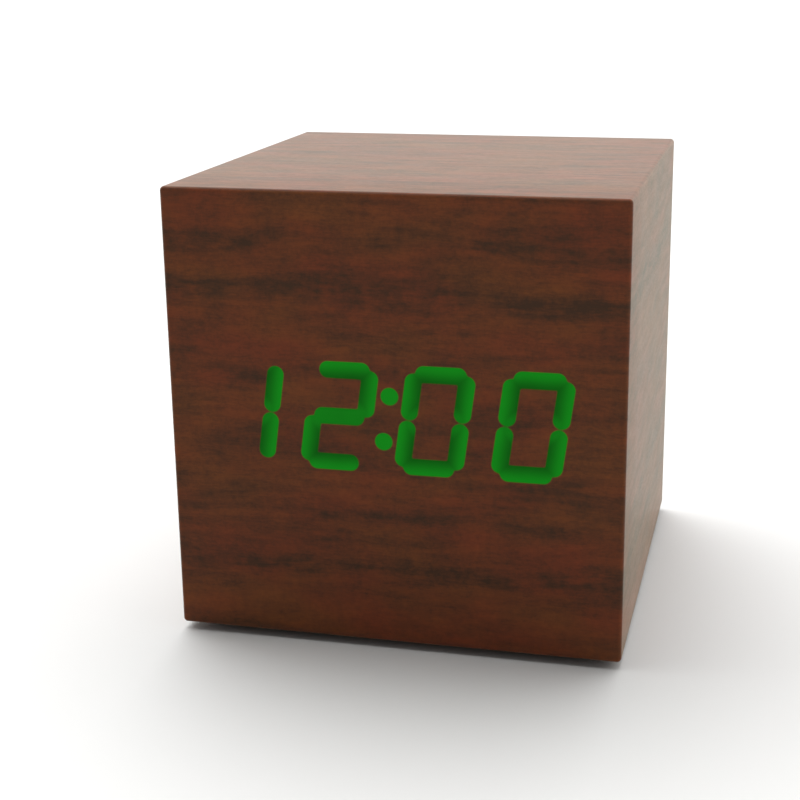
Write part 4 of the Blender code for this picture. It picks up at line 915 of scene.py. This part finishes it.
MASK_GREEN = (0.010, 0.085, 0.036, 1)
TRACK_GREEN = (0.022, 0.165, 0.060, 1)
SOLDER = (0.62, 0.62, 0.60, 1)
GLASS_FIBRE = (0.34, 0.31, 0.17, 1)
# The boards' patterns are laid out in millimetres.
TRACK_PITCH = 1.1
TRACK_EDGE = (0.17, 0.21)  # from a track's middle, where its copper fades out
VIA_EDGE = (0.09, 0.11)
BOARD_SKIN = 0.03  # the mask's thickness on each side
VIAS_PER_MM = 0.32
CELLS_PER_MM = 0.13
LAMP_HEIGHT = 0.6  # how far the lamps stand out of the board's front
LAMP_CREAM = (0.70, 0.68, 0.50, 1)
LAMP_GLOW = (0.02, 0.40, 0.03, 1)


def tracks_effect():
    """Copper tracks that run across or up in patches of a board, and the solder dots of its vias."""
    made = {"Tracks": "NodeSocketFloat", "Vias": "NodeSocketFloat"}
    group, given, made = effect("tracks", {"Point": "NodeSocketVector"}, made)
    x, _, z = node(group, "ShaderNodeSeparateXYZ", {"Vector": given["Point"]}).outputs
    flat = node(group, "ShaderNodeCombineXYZ", {0: x, 1: z}).outputs[0]
    where = {"Vector": flat, "Scale": CELLS_PER_MM}
    patch = node(group, "ShaderNodeTexVoronoi", where, distance="CHEBYCHEV")
    red, green, _ = node(group, "ShaderNodeSeparateColor", {"Color": patch.outputs["Color"]}).outputs
    upright = maths(group, "GREATER_THAN", red, 0.5)
    level = maths(group, "SUBTRACT", 1.0, upright)
    side = maths(group, "MULTIPLY_ADD", upright, x, maths(group, "MULTIPLY", level, z))
    in_pitch = maths(group, "WRAP", side, 0.0, TRACK_PITCH)
    off = maths(group, "ABSOLUTE", maths(group, "SUBTRACT", in_pitch, TRACK_PITCH / 2))
    line = ease(group, off, *TRACK_EDGE, 1.0, 0.0)
    group.links.new(maths(group, "MULTIPLY", line, maths(group, "GREATER_THAN", green, 0.25)), made["Tracks"])
    dots = node(group, "ShaderNodeTexVoronoi", {"Vector": flat, "Scale": VIAS_PER_MM}).outputs["Distance"]
    group.links.new(ease(group, dots, *VIA_EDGE, 1.0, 0.0), made["Vias"])
    return group


def circuit_board(name, piece, lamps=False):
    """Green mask over tracks, tinned vias, and the bare glass fibre at the cut edges of that board."""
    made, tree, shader = material(name)
    point = millimetres(tree)
    tracks = place_effect(tree, TRACKS, {"Point": point})
    speckle = place_effect(tree, SPECKLE, {"Point": point, "Grains per mm": 3.0})
    board = mixed(tree, tracks["Tracks"], MASK_GREEN, TRACK_GREEN)
    board = mixed(tree, tracks["Vias"], board, SOLDER)
    y = node(tree, "ShaderNodeSeparateXYZ", {"Vector": point}).outputs["Y"]
    low, high = (corner[1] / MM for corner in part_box(piece))
    low += LAMP_HEIGHT if lamps else 0.0
    off = maths(tree, "ABSOLUTE", maths(tree, "SUBTRACT", y, (low + high) / 2))
    inside = maths(tree, "LESS_THAN", off, (high - low) / 2 - BOARD_SKIN)
    board = mixed(tree, inside, board, mixed(tree, speckle["Cloud"], GLASS_FIBRE, MASK_GREEN))
    if lamps:
        lamp = maths(tree, "LESS_THAN", y, low - BOARD_SKIN)
        board = mixed(tree, lamp, board, LAMP_CREAM)
        tree.links.new(mixed(tree, lamp, NO_LIGHT, LAMP_GLOW), shader.inputs["Emission Color"])
        shader.inputs["Emission Strength"].default_value = 1.0
    tree.links.new(board, shader.inputs["Base Color"])
    tree.links.new(maths(tree, "MULTIPLY", tracks["Vias"], 0.9), shader.inputs["Metallic"])
    tree.links.new(ease(tree, speckle["Cloud"], 0.0, 1.0, 0.28, 0.42), shader.inputs["Roughness"])
    bump(tree, shader, maths(tree, "ADD", tracks["Tracks"], tracks["Vias"]), 0.04 * MM)
    return made


TRACKS = tracks_effect()
finished(circuit_board("display_board_mask", "display_board", lamps=True), "display_board")
finished(circuit_board("main_board_mask", "main_board"), "main_board")

# ---- The parts on the boards ----------------------------------------------------------------
# Two chips in black epoxy with tinned legs, a crystal in a drawn steel can, a capacitor in a printed
# sleeve, a buzzer, a microphone, a temperature sensor, three switches and two nylon connectors.

TIN = (0.64, 0.64, 0.62, 1)
LEG_REACH = 1.2  # how far the legs stand out past a chip's sides
DOT_IN = 1.3  # from a chip's sides to the middle of its dot
DOT_EDGE = (0.42, 0.5)
SWITCH_STEEL = 0.3
NYLON = (0.66, 0.63, 0.54, 1)
NYLON_AGED = (0.52, 0.47, 0.36, 1)
SLEEVE_BLACK = (0.020, 0.022, 0.030, 1)
SLEEVE_STRIPE = (0.45, 0.46, 0.48, 1)
STRIPE_SPREAD = 1.6  # across over up, at the stripe's two edges
CAN_END = 0.12
CAN_SOFT = 0.12  # share of the can's outline
PART_SOFT = 0.22 * MM
BUZZER = [(0, 0), (6, 0), (6, 6.3), (1.3, 6.3), (1.3, 3.8), (0, 3.8)]  # radius and height, in mm
MICROPHONE = [(0, 0), (3, 0), (3, 4.5), (0.8, 4.5), (0.8, 3.6), (0, 3.6)]
CAPACITOR = [(0, 0), (3.15, 0), (3.15, 1.1), (2.84, 1.5), (2.84, 2.0), (3.15, 2.4)]
CAPACITOR += [(3.15, 7.7), (2.84, 8), (0, 8)]


def outside(tree, value, low, high):
    """1 where the value lies outside low to high, and 0 between them."""
    off = maths(tree, "ABSOLUTE", maths(tree, "SUBTRACT", value, (low + high) / 2))
    return maths(tree, "GREATER_THAN", off, (high - low) / 2)


def chip_epoxy(name, piece):
    """Filled black epoxy with a moulded dot at the first leg, and tinned legs past its sides."""
    made, tree, shader = material(name)
    point = millimetres(tree)
    speckle = place_effect(tree, SPECKLE, {"Point": point, "Grains per mm": 7.0})
    x, _, z = node(tree, "ShaderNodeSeparateXYZ", {"Vector": point}).outputs
    low, high = (np.array(corner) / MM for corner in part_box(piece))
    legs = outside(tree, z, low[2] + LEG_REACH, high[2] - LEG_REACH)
    across = maths(tree, "SUBTRACT", x, low[0] + DOT_IN)
    up = maths(tree, "SUBTRACT", z, low[2] + LEG_REACH + DOT_IN)
    spot = node(tree, "ShaderNodeCombineXYZ", {0: across, 1: up}).outputs[0]
    far = node(tree, "ShaderNodeVectorMath", {0: spot}, operation="LENGTH").outputs["Value"]
    dot = ease(tree, far, *DOT_EDGE, 1.0, 0.0)
    epoxy = mixed(tree, speckle["Grains"], RESIN_BLACK, RESIN_GREY)
    tree.links.new(mixed(tree, legs, epoxy, TIN), shader.inputs["Base Color"])
    tree.links.new(legs, shader.inputs["Metallic"])
    dull = maths(tree, "MULTIPLY_ADD", maths(tree, "MAXIMUM", legs, dot), -0.28, 0.62)
    tree.links.new(dull, shader.inputs["Roughness"])
    height = maths(tree, "SUBTRACT", speckle["Grains"], maths(tree, "MULTIPLY", dot, 4.0))
    bump(tree, shader, height, 0.02 * MM)
    return made


def switch_shell(name, piece):
    """A black moulded body under a steel cover plate."""
    made, tree, shader = material(name)
    point = millimetres(tree)
    brushed = place_effect(tree, BRUSHED, {"Point": point, "Stretch": (1, 9, 9)})
    y = node(tree, "ShaderNodeSeparateXYZ", {"Vector": point}).outputs["Y"]
    steel = maths(tree, "GREATER_THAN", y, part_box(piece)[1][1] / MM - SWITCH_STEEL)
    plate = mixed(tree, brushed["Tarnish"], BRIGHT_ZINC, BRIGHT_ZINC_DULL)
    tree.links.new(mixed(tree, steel, RESIN_BLACK, plate), shader.inputs["Base Color"])
    tree.links.new(steel, shader.inputs["Metallic"])
    tree.links.new(ease(tree, brushed["Lines"], 0.3, 0.7, 0.3, 0.5), shader.inputs["Roughness"])
    bump(tree, shader, brushed["Lines"], 0.01 * MM)
    return made


def can_sleeve(name, piece):
    """A black shrink sleeve with a pale stripe down one side, and the bare can's end."""
    made, tree, shader = material(name)
    point = millimetres(tree)
    speckle = place_effect(tree, SPECKLE, {"Point": point, "Grains per mm": 4.0})
    x, y, z = node(tree, "ShaderNodeSeparateXYZ", {"Vector": point}).outputs
    centre = middle(piece) / MM
    across = maths(tree, "SUBTRACT", x, centre[0])
    off = maths(tree, "ABSOLUTE", maths(tree, "SUBTRACT", z, centre[2]))
    stripe = maths(tree, "GREATER_THAN", across, maths(tree, "MULTIPLY", off, STRIPE_SPREAD))
    bare = maths(tree, "LESS_THAN", y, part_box(piece)[0][1] / MM + CAN_END)
    colour = mixed(tree, bare, mixed(tree, stripe, SLEEVE_BLACK, SLEEVE_STRIPE), TIN)
    tree.links.new(colour, shader.inputs["Base Color"])
    tree.links.new(bare, shader.inputs["Metallic"])
    tree.links.new(ease(tree, speckle["Cloud"], 0.0, 1.0, 0.24, 0.4), shader.inputs["Roughness"])
    bump(tree, shader, speckle["Cloud"], 0.02 * MM)
    return made


def on_board(name, corners, made, axis=TO_REAR):
    """A turned part that stands on a board, given by (radius, height) corners in millimetres."""
    place = middle(name)
    low, high = (corner[1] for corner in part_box(name))
    place[1] = low if axis is TO_REAR else high
    form = turned(f"{name}_turned", np.array(corners) * MM, PART_SOFT, place, axis)
    settled(form, made, replaces=[name])


def oval_can(name, made):
    """A can with round ends: a circle's outline, its halves moved apart by the straight stretch."""
    low, high = (np.array(corner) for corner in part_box(name))
    radius, tall = (high[2] - low[2]) / 2, high[1] - low[1]
    angles = np.linspace(0, 2 * math.pi, TURN_STEPS + 1)
    flat = (high[0] - low[0]) / 2 - radius
    x = radius * np.cos(angles) + flat * np.sign(np.cos(angles).round(6))
    z = radius * np.sin(angles)
    flange = np.array([(0, 0), (1, 0), (1, 0.35), (0.93, 0.45), (0.93, tall / MM), (0, tall / MM)])
    profile = eased(flange * (1, MM), CAN_SOFT, 3)
    place = middle(name)
    place[1] = high[1]
    reach, turns = profile[:, :1] * np.hypot(x, z), np.unwrap(np.arctan2(z, x))
    can = around(f"{name}_drawn", reach, profile[:, 1:], place, TO_FRONT, turns)
    settled(can, made, replaces=[name])


finished(chip_epoxy("driver_epoxy", "led_driver_chip"), "led_driver_chip")
finished(chip_epoxy("clock_epoxy", "clock_chip"), "clock_chip")
finished(resin, "temperature_sensor")
shell = switch_shell("switch_shell", "set_switch_body")
finished(shell, *(f"{button}_switch_body" for button in BUTTON_MARKS))
nylon = moulded_plastic("nylon", NYLON, NYLON_AGED, 3.0, (0.4, 0.55), 0.015 * MM)
finished(nylon, "display_header", "main_header")
oval_can("quartz_crystal", bright_zinc)
on_board("alarm_buzzer", BUZZER, resin)
on_board("microphone", MICROPHONE, bright_zinc)
printed_sleeve = can_sleeve("can_sleeve", "filter_capacitor")
on_board("filter_capacitor", CAPACITOR, printed_sleeve, TO_FRONT)

# ---- The ribbon cable and the battery leads -------------------------------------------------
# Fourteen wires side by side in grey PVC with a red first wire, pushed into the two connectors,
# and two stranded leads in red and black PVC from the battery contacts to the main board.

WIRES = 14
WIRE_PITCH = 1.0 * MM
WIRE_STEPS = 8
RIBBON_HALF = 0.5 * MM
RIBBON_HUMP = 5.5 * MM
RIBBON_STRAIGHT = 0.6 * MM  # past the connector, before the ribbon bends
RIBBON_STEPS = 60
RIBBON_GREY = (0.34, 0.35, 0.37, 1)
RIBBON_PALE = (0.50, 0.51, 0.53, 1)
RIBBON_RED = (0.50, 0.03, 0.02, 1)
LEAD_RED = (0.46, 0.015, 0.012, 1)
LEAD_RED_RUBBED = (0.55, 0.06, 0.05, 1)
LEAD_BLACK = (0.018, 0.018, 0.018, 1)
LEAD_BLACK_RUBBED = (0.05, 0.05, 0.05, 1)
LEAD_RADIUS = 0.6 * MM
LEAD_RISE = 0.9  # share of the way up that a lead leaves its tab straight
LEAD_RUN = 0.6  # share of the way back that it enters the board straight
LEAD_STEPS = 48
SECTION_STEPS = 16


def swept(name, path, section, across=(1, 0, 0)):
    """A section carried along a path: point (i, j) is path_i + a_j A_i + b_j B_i, closed at both ends.

    B is square to the path and to the across direction, A is square to B and the path, and (a, b) goes
    round the section.
    """
    ahead = np.gradient(path, axis=0)
    ahead /= np.linalg.norm(ahead, axis=1, keepdims=True)
    up = np.cross(ahead, across)
    up /= np.linalg.norm(up, axis=1, keepdims=True)
    side = np.cross(up, ahead)
    order = np.r_[0, 0:len(path), len(path) - 1]
    size = np.r_[0, np.ones(len(path)), 0][:, None, None]
    spread = section[:, :1] * side[order, None] + section[:, 1:] * up[order, None]
    made = object_from(name, path[order, None] + size * spread, grid_faces(len(order), len(section)))
    closed_seams(made)
    smooth(made, 50)
    return made


def circle(radius, steps=SECTION_STEPS):
    """A round section."""
    angles = np.linspace(0, 2 * math.pi, steps + 1)
    return radius * np.stack([np.cos(angles), np.sin(angles)], axis=1)


def wire_sleeve(name, colour, rubbed, first=None):
    """PVC insulation with a soft gloss. A first wire of another colour lies at the lowest X."""
    made, tree, shader = material(name)
    point = millimetres(tree)
    speckle = place_effect(tree, SPECKLE, {"Point": point, "Grains per mm": 5.0})
    sleeve = mixed(tree, speckle["Cloud"], colour, rubbed)
    if first:
        x = node(tree, "ShaderNodeSeparateXYZ", {"Vector": point}).outputs["X"]
        edge = (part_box("ribbon_cable")[0][0] + WIRE_PITCH) / MM
        sleeve = mixed(tree, maths(tree, "LESS_THAN", x, edge), sleeve, first)
    tree.links.new(sleeve, shader.inputs["Base Color"])
    tree.links.new(ease(tree, speckle["Grains"], 0.0, 1.0, 0.4, 0.55), shader.inputs["Roughness"])
    bump(tree, shader, speckle["Cloud"], 0.01 * MM)
    return made


def ribbon():
    """The ribbon along y, with z = level + hump sin^2(pi t).

    Its half thickness is H (0.35 + 0.65 |sin(pi x / pitch)|), so that each wire stands out.
    """
    low, high = (np.array(corner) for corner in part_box("ribbon_cable"))
    level = low[2] + RIBBON_HALF
    start, end = low[1] + RIBBON_HALF, high[1] - RIBBON_HALF
    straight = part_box("display_header")[1][1] + RIBBON_STRAIGHT
    y = np.concatenate([[low[1]], np.linspace(straight, end + start - straight, RIBBON_STEPS), [high[1]]])
    t = np.clip((y - straight) / (end + start - 2 * straight), 0, 1)
    path = np.stack([0 * y, y, level + RIBBON_HUMP * np.sin(math.pi * t) ** 2], axis=1)
    x = np.linspace(high[0], low[0], WIRES * WIRE_STEPS + 1)
    half = RIBBON_HALF * (0.35 + 0.65 * np.abs(np.sin(math.pi * (x - low[0]) / WIRE_PITCH)))
    section = np.concatenate([np.stack([x, half], axis=1), np.stack([x, -half], axis=1)[::-1]])
    return swept("ribbon_of_wires", path, np.concatenate([section, section[:1]]))


def lead(name, contact, made):
    """A lead on the cubic curve (1-t)^3 A + 3t(1-t)^2 B + 3t^2(1-t) C + t^3 D.

    It goes straight up from its tab at A, towards B, and comes from C straight into the board at D.
    """
    low, high = (np.array(corner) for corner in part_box(name))
    tab = middle(contact)
    inward = -np.sign(tab[0])
    pad_x = high[0] - LEAD_RADIUS if inward > 0 else low[0] + LEAD_RADIUS
    start = np.array([tab[0], tab[1], low[2]])
    end = np.array([pad_x, high[1], high[2] - LEAD_RADIUS])
    rising = start + (0, 0, LEAD_RISE * (end[2] - start[2]))
    entering = end - (0, LEAD_RUN * (end[1] - start[1]), 0)
    t = np.linspace(0, 1, LEAD_STEPS)[:, None]
    weights = ((1 - t) ** 3, 3 * t * (1 - t) ** 2, 3 * t**2 * (1 - t), t**3)
    path = sum(weight * corner for weight, corner in zip(weights, (start, rising, entering, end)))
    settled(swept(f"{name}_sleeve", path, circle(LEAD_RADIUS)), made, replaces=[name])


grey_pvc = wire_sleeve("grey_pvc", RIBBON_GREY, RIBBON_PALE, RIBBON_RED)
settled(ribbon(), grey_pvc, replaces=["ribbon_cable"])
red_pvc = wire_sleeve("red_pvc", LEAD_RED, LEAD_RED_RUBBED)
black_pvc = wire_sleeve("black_pvc", LEAD_BLACK, LEAD_BLACK_RUBBED)
lead("battery_lead_red", "contact_positive", red_pvc)
lead("battery_lead_black", "contact_negative", black_pvc)

# ---- The light box and the diffuser ---------------------------------------------------------
# A white block with a channel for each bar of the digits, moulded in a plastic that reflects well,
# and the frosted sheet that spreads the light behind the film.

BLOCK_WHITE = (0.78, 0.78, 0.76, 1)
BLOCK_SHADE = (0.62, 0.62, 0.59, 1)
SHEET_PALE = (0.74, 0.77, 0.74, 1)
SHEET_HAZE = (0.86, 0.88, 0.86, 1)

finished(moulded_plastic("light_box_white", BLOCK_WHITE, BLOCK_SHADE, 3.0, (0.45, 0.6)), "segment_block")
frosted = moulded_plastic("frosted_sheet", SHEET_PALE, SHEET_HAZE, 8.0, (0.55, 0.75), 0.008 * MM)
finished(frosted, "diffuser_film")

# ---- The battery box and its cells ----------------------------------------------------------
# A black moulded tray, open at the bottom, for three cells side by side, turned end for end. Nickel
# plated strips and conical springs join them in a row.

NICKEL = (0.60, 0.57, 0.52, 1)
NICKEL_DULL = (0.36, 0.34, 0.30, 1)
# A cell's profile and its print are laid out in millimetres.
CELL_RADIUS = 5.2
CELL_LENGTH = 44.5
CELL_PROFILE = [
    (0, 0.3), (3.3, 0.3), (3.6, 0), (4.7, 0), (CELL_RADIUS, 0.5), (CELL_RADIUS, 42.8), (4.7, 43.3),
    (3.9, 43.1), (1.95, 43.1), (1.9, CELL_LENGTH), (0, CELL_LENGTH),
]
CELL_SOFT = 0.28
CELL_BARE = 3.5  # radius inside which the metal ends show
JACKET_DARK = (0.020, 0.021, 0.024, 1)
JACKET_COPPER = (0.42, 0.165, 0.055, 1)
JACKET_PALE = (0.60, 0.60, 0.58, 1)
COPPER_FROM = 32.0
LINE_WIDTH = 0.7
LINE_BELOW = 1.0
PLUS_AT = 38.6
PLUS_COUNT = 3  # round the jacket
PLUS_ARM = 1.5
PLUS_HALF = 0.35
SPRING_RADII = (3.6 * MM, 2.4 * MM)
SPRING_WIRE = 0.25 * MM
SPRING_TURNS = 3
SPRING_STEPS = 30
SPRING_SIDES = 10


def cell(name, facing):
    """A turned cell. Its map "cell" holds the share of a turn and the millimetres from its flat end."""
    low, high = (np.array(corner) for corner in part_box(name))
    place = middle(name)
    place[0] = low[0] if facing > 0 else high[0]
    profile = eased(CELL_PROFILE, CELL_SOFT)
    form = around(f"{name}_turned", profile[:, :1] * MM, profile[:, 1:] * MM, place, (facing, 0, 0))
    columns = TURN_STEPS + 1
    share = np.tile(np.linspace(0, 1, columns), len(profile))
    places = np.stack([share, np.repeat(profile[:, 1], columns)], axis=1)
    faces = grid_faces(len(profile), columns)
    layer = form.data.uv_layers.new(name="cell")
    layer.uv.foreach_set("vector", places[faces.ravel()].astype(np.float32).ravel())
    bare = form.data.attributes.new("bare", "FLOAT", "POINT")
    bare.data.foreach_set("value", np.repeat(profile[:, 0] < CELL_BARE, columns).astype(np.float32))
    return form


def cell_jacket():
    """A printed shrink sleeve: dark, then a pale line and a copper band with plus marks, and metal ends."""
    made, tree, shader = material("cell_jacket")
    place = node(tree, "ShaderNodeUVMap", uv_map="cell").outputs[0]
    turn, along, _ = node(tree, "ShaderNodeSeparateXYZ", {"Vector": place}).outputs
    point = millimetres(tree)
    brushed = place_effect(tree, BRUSHED, {"Point": point, "Stretch": (0.6, 7, 7)})
    copper = maths(tree, "GREATER_THAN", along, COPPER_FROM)
    line = maths(tree, "COMPARE", along, COPPER_FROM - LINE_BELOW, LINE_WIDTH / 2)
    round_cell = 2 * math.pi * CELL_RADIUS
    share = maths(tree, "WRAP", turn, 0.0, 1 / PLUS_COUNT)
    across = maths(tree, "MULTIPLY_ADD", share, round_cell, -round_cell / PLUS_COUNT / 2)
    wide = maths(tree, "ABSOLUTE", across)
    tall = maths(tree, "ABSOLUTE", maths(tree, "SUBTRACT", along, PLUS_AT))
    bars = []
    for a, b in ((wide, tall), (tall, wide)):
        near = maths(tree, "LESS_THAN", a, PLUS_ARM)
        bars.append(maths(tree, "MULTIPLY", near, maths(tree, "LESS_THAN", b, PLUS_HALF)))
    plus = maths(tree, "MAXIMUM", *bars)
    colour = mixed(tree, copper, JACKET_DARK, JACKET_COPPER)
    colour = mixed(tree, maths(tree, "MAXIMUM", line, plus), colour, JACKET_PALE)
    bare = node(tree, "ShaderNodeAttribute", attribute_name="bare").outputs["Fac"]
    bare = maths(tree, "GREATER_THAN", bare, 0.5)
    ends = mixed(tree, brushed["Tarnish"], NICKEL, NICKEL_DULL)
    tree.links.new(mixed(tree, bare, colour, ends), shader.inputs["Base Color"])
    foil = maths(tree, "MULTIPLY", copper, 0.75)
    tree.links.new(maths(tree, "MAXIMUM", foil, bare), shader.inputs["Metallic"])
    tree.links.new(ease(tree, brushed["Lines"], 0.3, 0.7, 0.22, 0.36), shader.inputs["Roughness"])
    bump(tree, shader, brushed["Lines"], 0.008 * MM)
    return made


def spring(name):
    """A conical helix: x = start + travel t, and r = wide + (narrow - wide) t at the angle of its turns."""
    low, high = (np.array(corner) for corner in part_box(name))
    facing = -np.sign(middle(name)[0])
    start, end = (low[0], high[0]) if facing > 0 else (high[0], low[0])
    start, end = start + facing * SPRING_WIRE, end - facing * SPRING_WIRE
    t = np.linspace(0, 1, SPRING_TURNS * SPRING_STEPS + 1)
    radius = SPRING_RADII[0] + (SPRING_RADII[1] - SPRING_RADII[0]) * t
    angle = 2 * math.pi * SPRING_TURNS * t
    centre = middle("battery_cell_" + name[-1])
    path = [start + (end - start) * t, centre[1] + radius * np.cos(angle), centre[2] + radius * np.sin(angle)]
    return swept(f"{name}_coiled", np.stack(path, axis=1), circle(SPRING_WIRE, SPRING_SIDES))


nickel = plated_metal("nickel_strip", NICKEL, NICKEL_DULL, (9, 1, 9))
finished(black_plastic, "battery_box", "battery_door")
finished(nickel, "contact_positive", "contact_negative", "contact_bridge_left", "contact_bridge_right")
jacket = cell_jacket()
for number, facing in ((1, -1), (2, 1), (3, -1)):
    name = f"battery_cell_{number}"
    settled(cell(name, facing), jacket, replaces=[name])
    coil = f"contact_spring_{number}"
    settled(spring(coil), nickel, replaces=[coil])

# ---- The battery door's grip ----------------------------------------------------------------
# The door is moulded in the same black plastic, with a thumb recess that has a soft lip and four
# ribs, so that it can be pushed to free the latch and swung down.

DOOR_LOW, DOOR_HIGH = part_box("battery_door")
LATCH_LENGTH = 6.0 * MM
NIB_PROUD = 0.2 * MM
THUMB_RADIUS = 5.0 * MM
THUMB_DEPTH = 0.6 * MM
LIP = 0.35 * MM
LIP_SUNK = 0.2 * MM  # how far the lip's foot is set into the door
LIP_OVERLAP = 0.1 * MM
LIP_PROUD = 0.12 * MM
LIP_SOFT = 0.2 * MM
RIB_LENGTHS = (5.4, 7.4, 7.4, 5.4)
RIB_PITCH = 1.7 * MM
RIB_HALF = 0.32 * MM
RIB_SUNK = 0.1 * MM
RIB_LOW = 0.05 * MM  # how far the ribs stop short of the door's face
TO_FLOOR = (0, 0, -1)

thumb = np.array((0, DOOR_HIGH[1] - NIB_PROUD - LATCH_LENGTH - THUMB_RADIUS, DOOR_LOW[2] + THUMB_DEPTH))
inner, outer = THUMB_RADIUS - LIP, THUMB_RADIUS + LIP_OVERLAP
half, top = (inner + outer) / 2, THUMB_DEPTH + LIP_PROUD
corners = [(half, -LIP_SUNK), (outer, -LIP_SUNK), (outer, top), (inner, top)]
corners += [(inner, -LIP_SUNK), (half, -LIP_SUNK)]
lip = turned("thumb_lip", corners, LIP_SOFT, thumb, TO_FLOOR)
settled(lip, black_plastic, "battery_door")
for number, length in enumerate(RIB_LENGTHS):
    reach = length * MM / 2
    corners = [(-reach, -RIB_HALF), (reach, -RIB_HALF), (reach, RIB_HALF), (-reach, RIB_HALF)]
    place = thumb + (0, (number - (len(RIB_LENGTHS) - 1) / 2) * RIB_PITCH, 0)
    rib = raised_mark(f"thumb_rib_{number + 1}", corners, place, -RIB_SUNK, THUMB_DEPTH - RIB_LOW, TO_FLOOR)
    settled(rib, black_plastic, "battery_door")

# ---- The feet -------------------------------------------------------------------------------
# Four discs of soft black rubber, stuck to the bottom face, with moulded rings that grip the table.

FOOT_RUBBER = (0.026, 0.026, 0.027, 1)
FOOT_DUSTY = (0.10, 0.098, 0.094, 1)
FOOT_RING_PITCH = 0.8 * MM
FOOT_RING_DEPTH = 0.07 * MM
FOOT_ROUND = 0.25 * MM
FOOT_ROWS = 40


def foot(name):
    """A turned disc. Its lower face is h = depth (1 + cos(2 pi r / pitch)) / 2 up from the table."""
    low, high = (np.array(corner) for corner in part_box(name))
    radius, tall = (high[0] - low[0]) / 2, high[2] - low[2]
    r = np.linspace(0, radius - FOOT_ROUND, FOOT_ROWS)
    under = np.stack([r, FOOT_RING_DEPTH * (1 + np.cos(2 * math.pi * r / FOOT_RING_PITCH)) / 2], axis=1)
    side = eased([(radius - FOOT_ROUND, 0), (radius, 0), (radius, tall), (0, tall)], FOOT_ROUND)
    profile = np.concatenate([under, side[1:]])
    place = middle(name)
    place[2] = low[2]
    return around(f"{name}_moulded", profile[:, :1], profile[:, 1:], place, TO_TOP)


def rubber():
    """Soft rubber: dull, finely speckled, and dusty in patches."""
    made, tree, shader = material("foot_rubber")
    speckle = place_effect(tree, SPECKLE, {"Point": millimetres(tree), "Grains per mm": 5.0})
    dust = maths(tree, "MULTIPLY", speckle["Grains"], maths(tree, "MULTIPLY", speckle["Cloud"], 0.7))
    tree.links.new(mixed(tree, dust, FOOT_RUBBER, FOOT_DUSTY), shader.inputs["Base Color"])
    tree.links.new(ease(tree, speckle["Cloud"], 0.0, 1.0, 0.72, 0.9), shader.inputs["Roughness"])
    bump(tree, shader, speckle["Grains"], 0.03 * MM)
    return made


foot_rubber = rubber()
for number in range(1, 5):
    name = f"rubber_foot_{number}"
    settled(foot(name), foot_rubber, replaces=[name])

# ---- Sizes ----------------------------------------------------------------------------------

low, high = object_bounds()
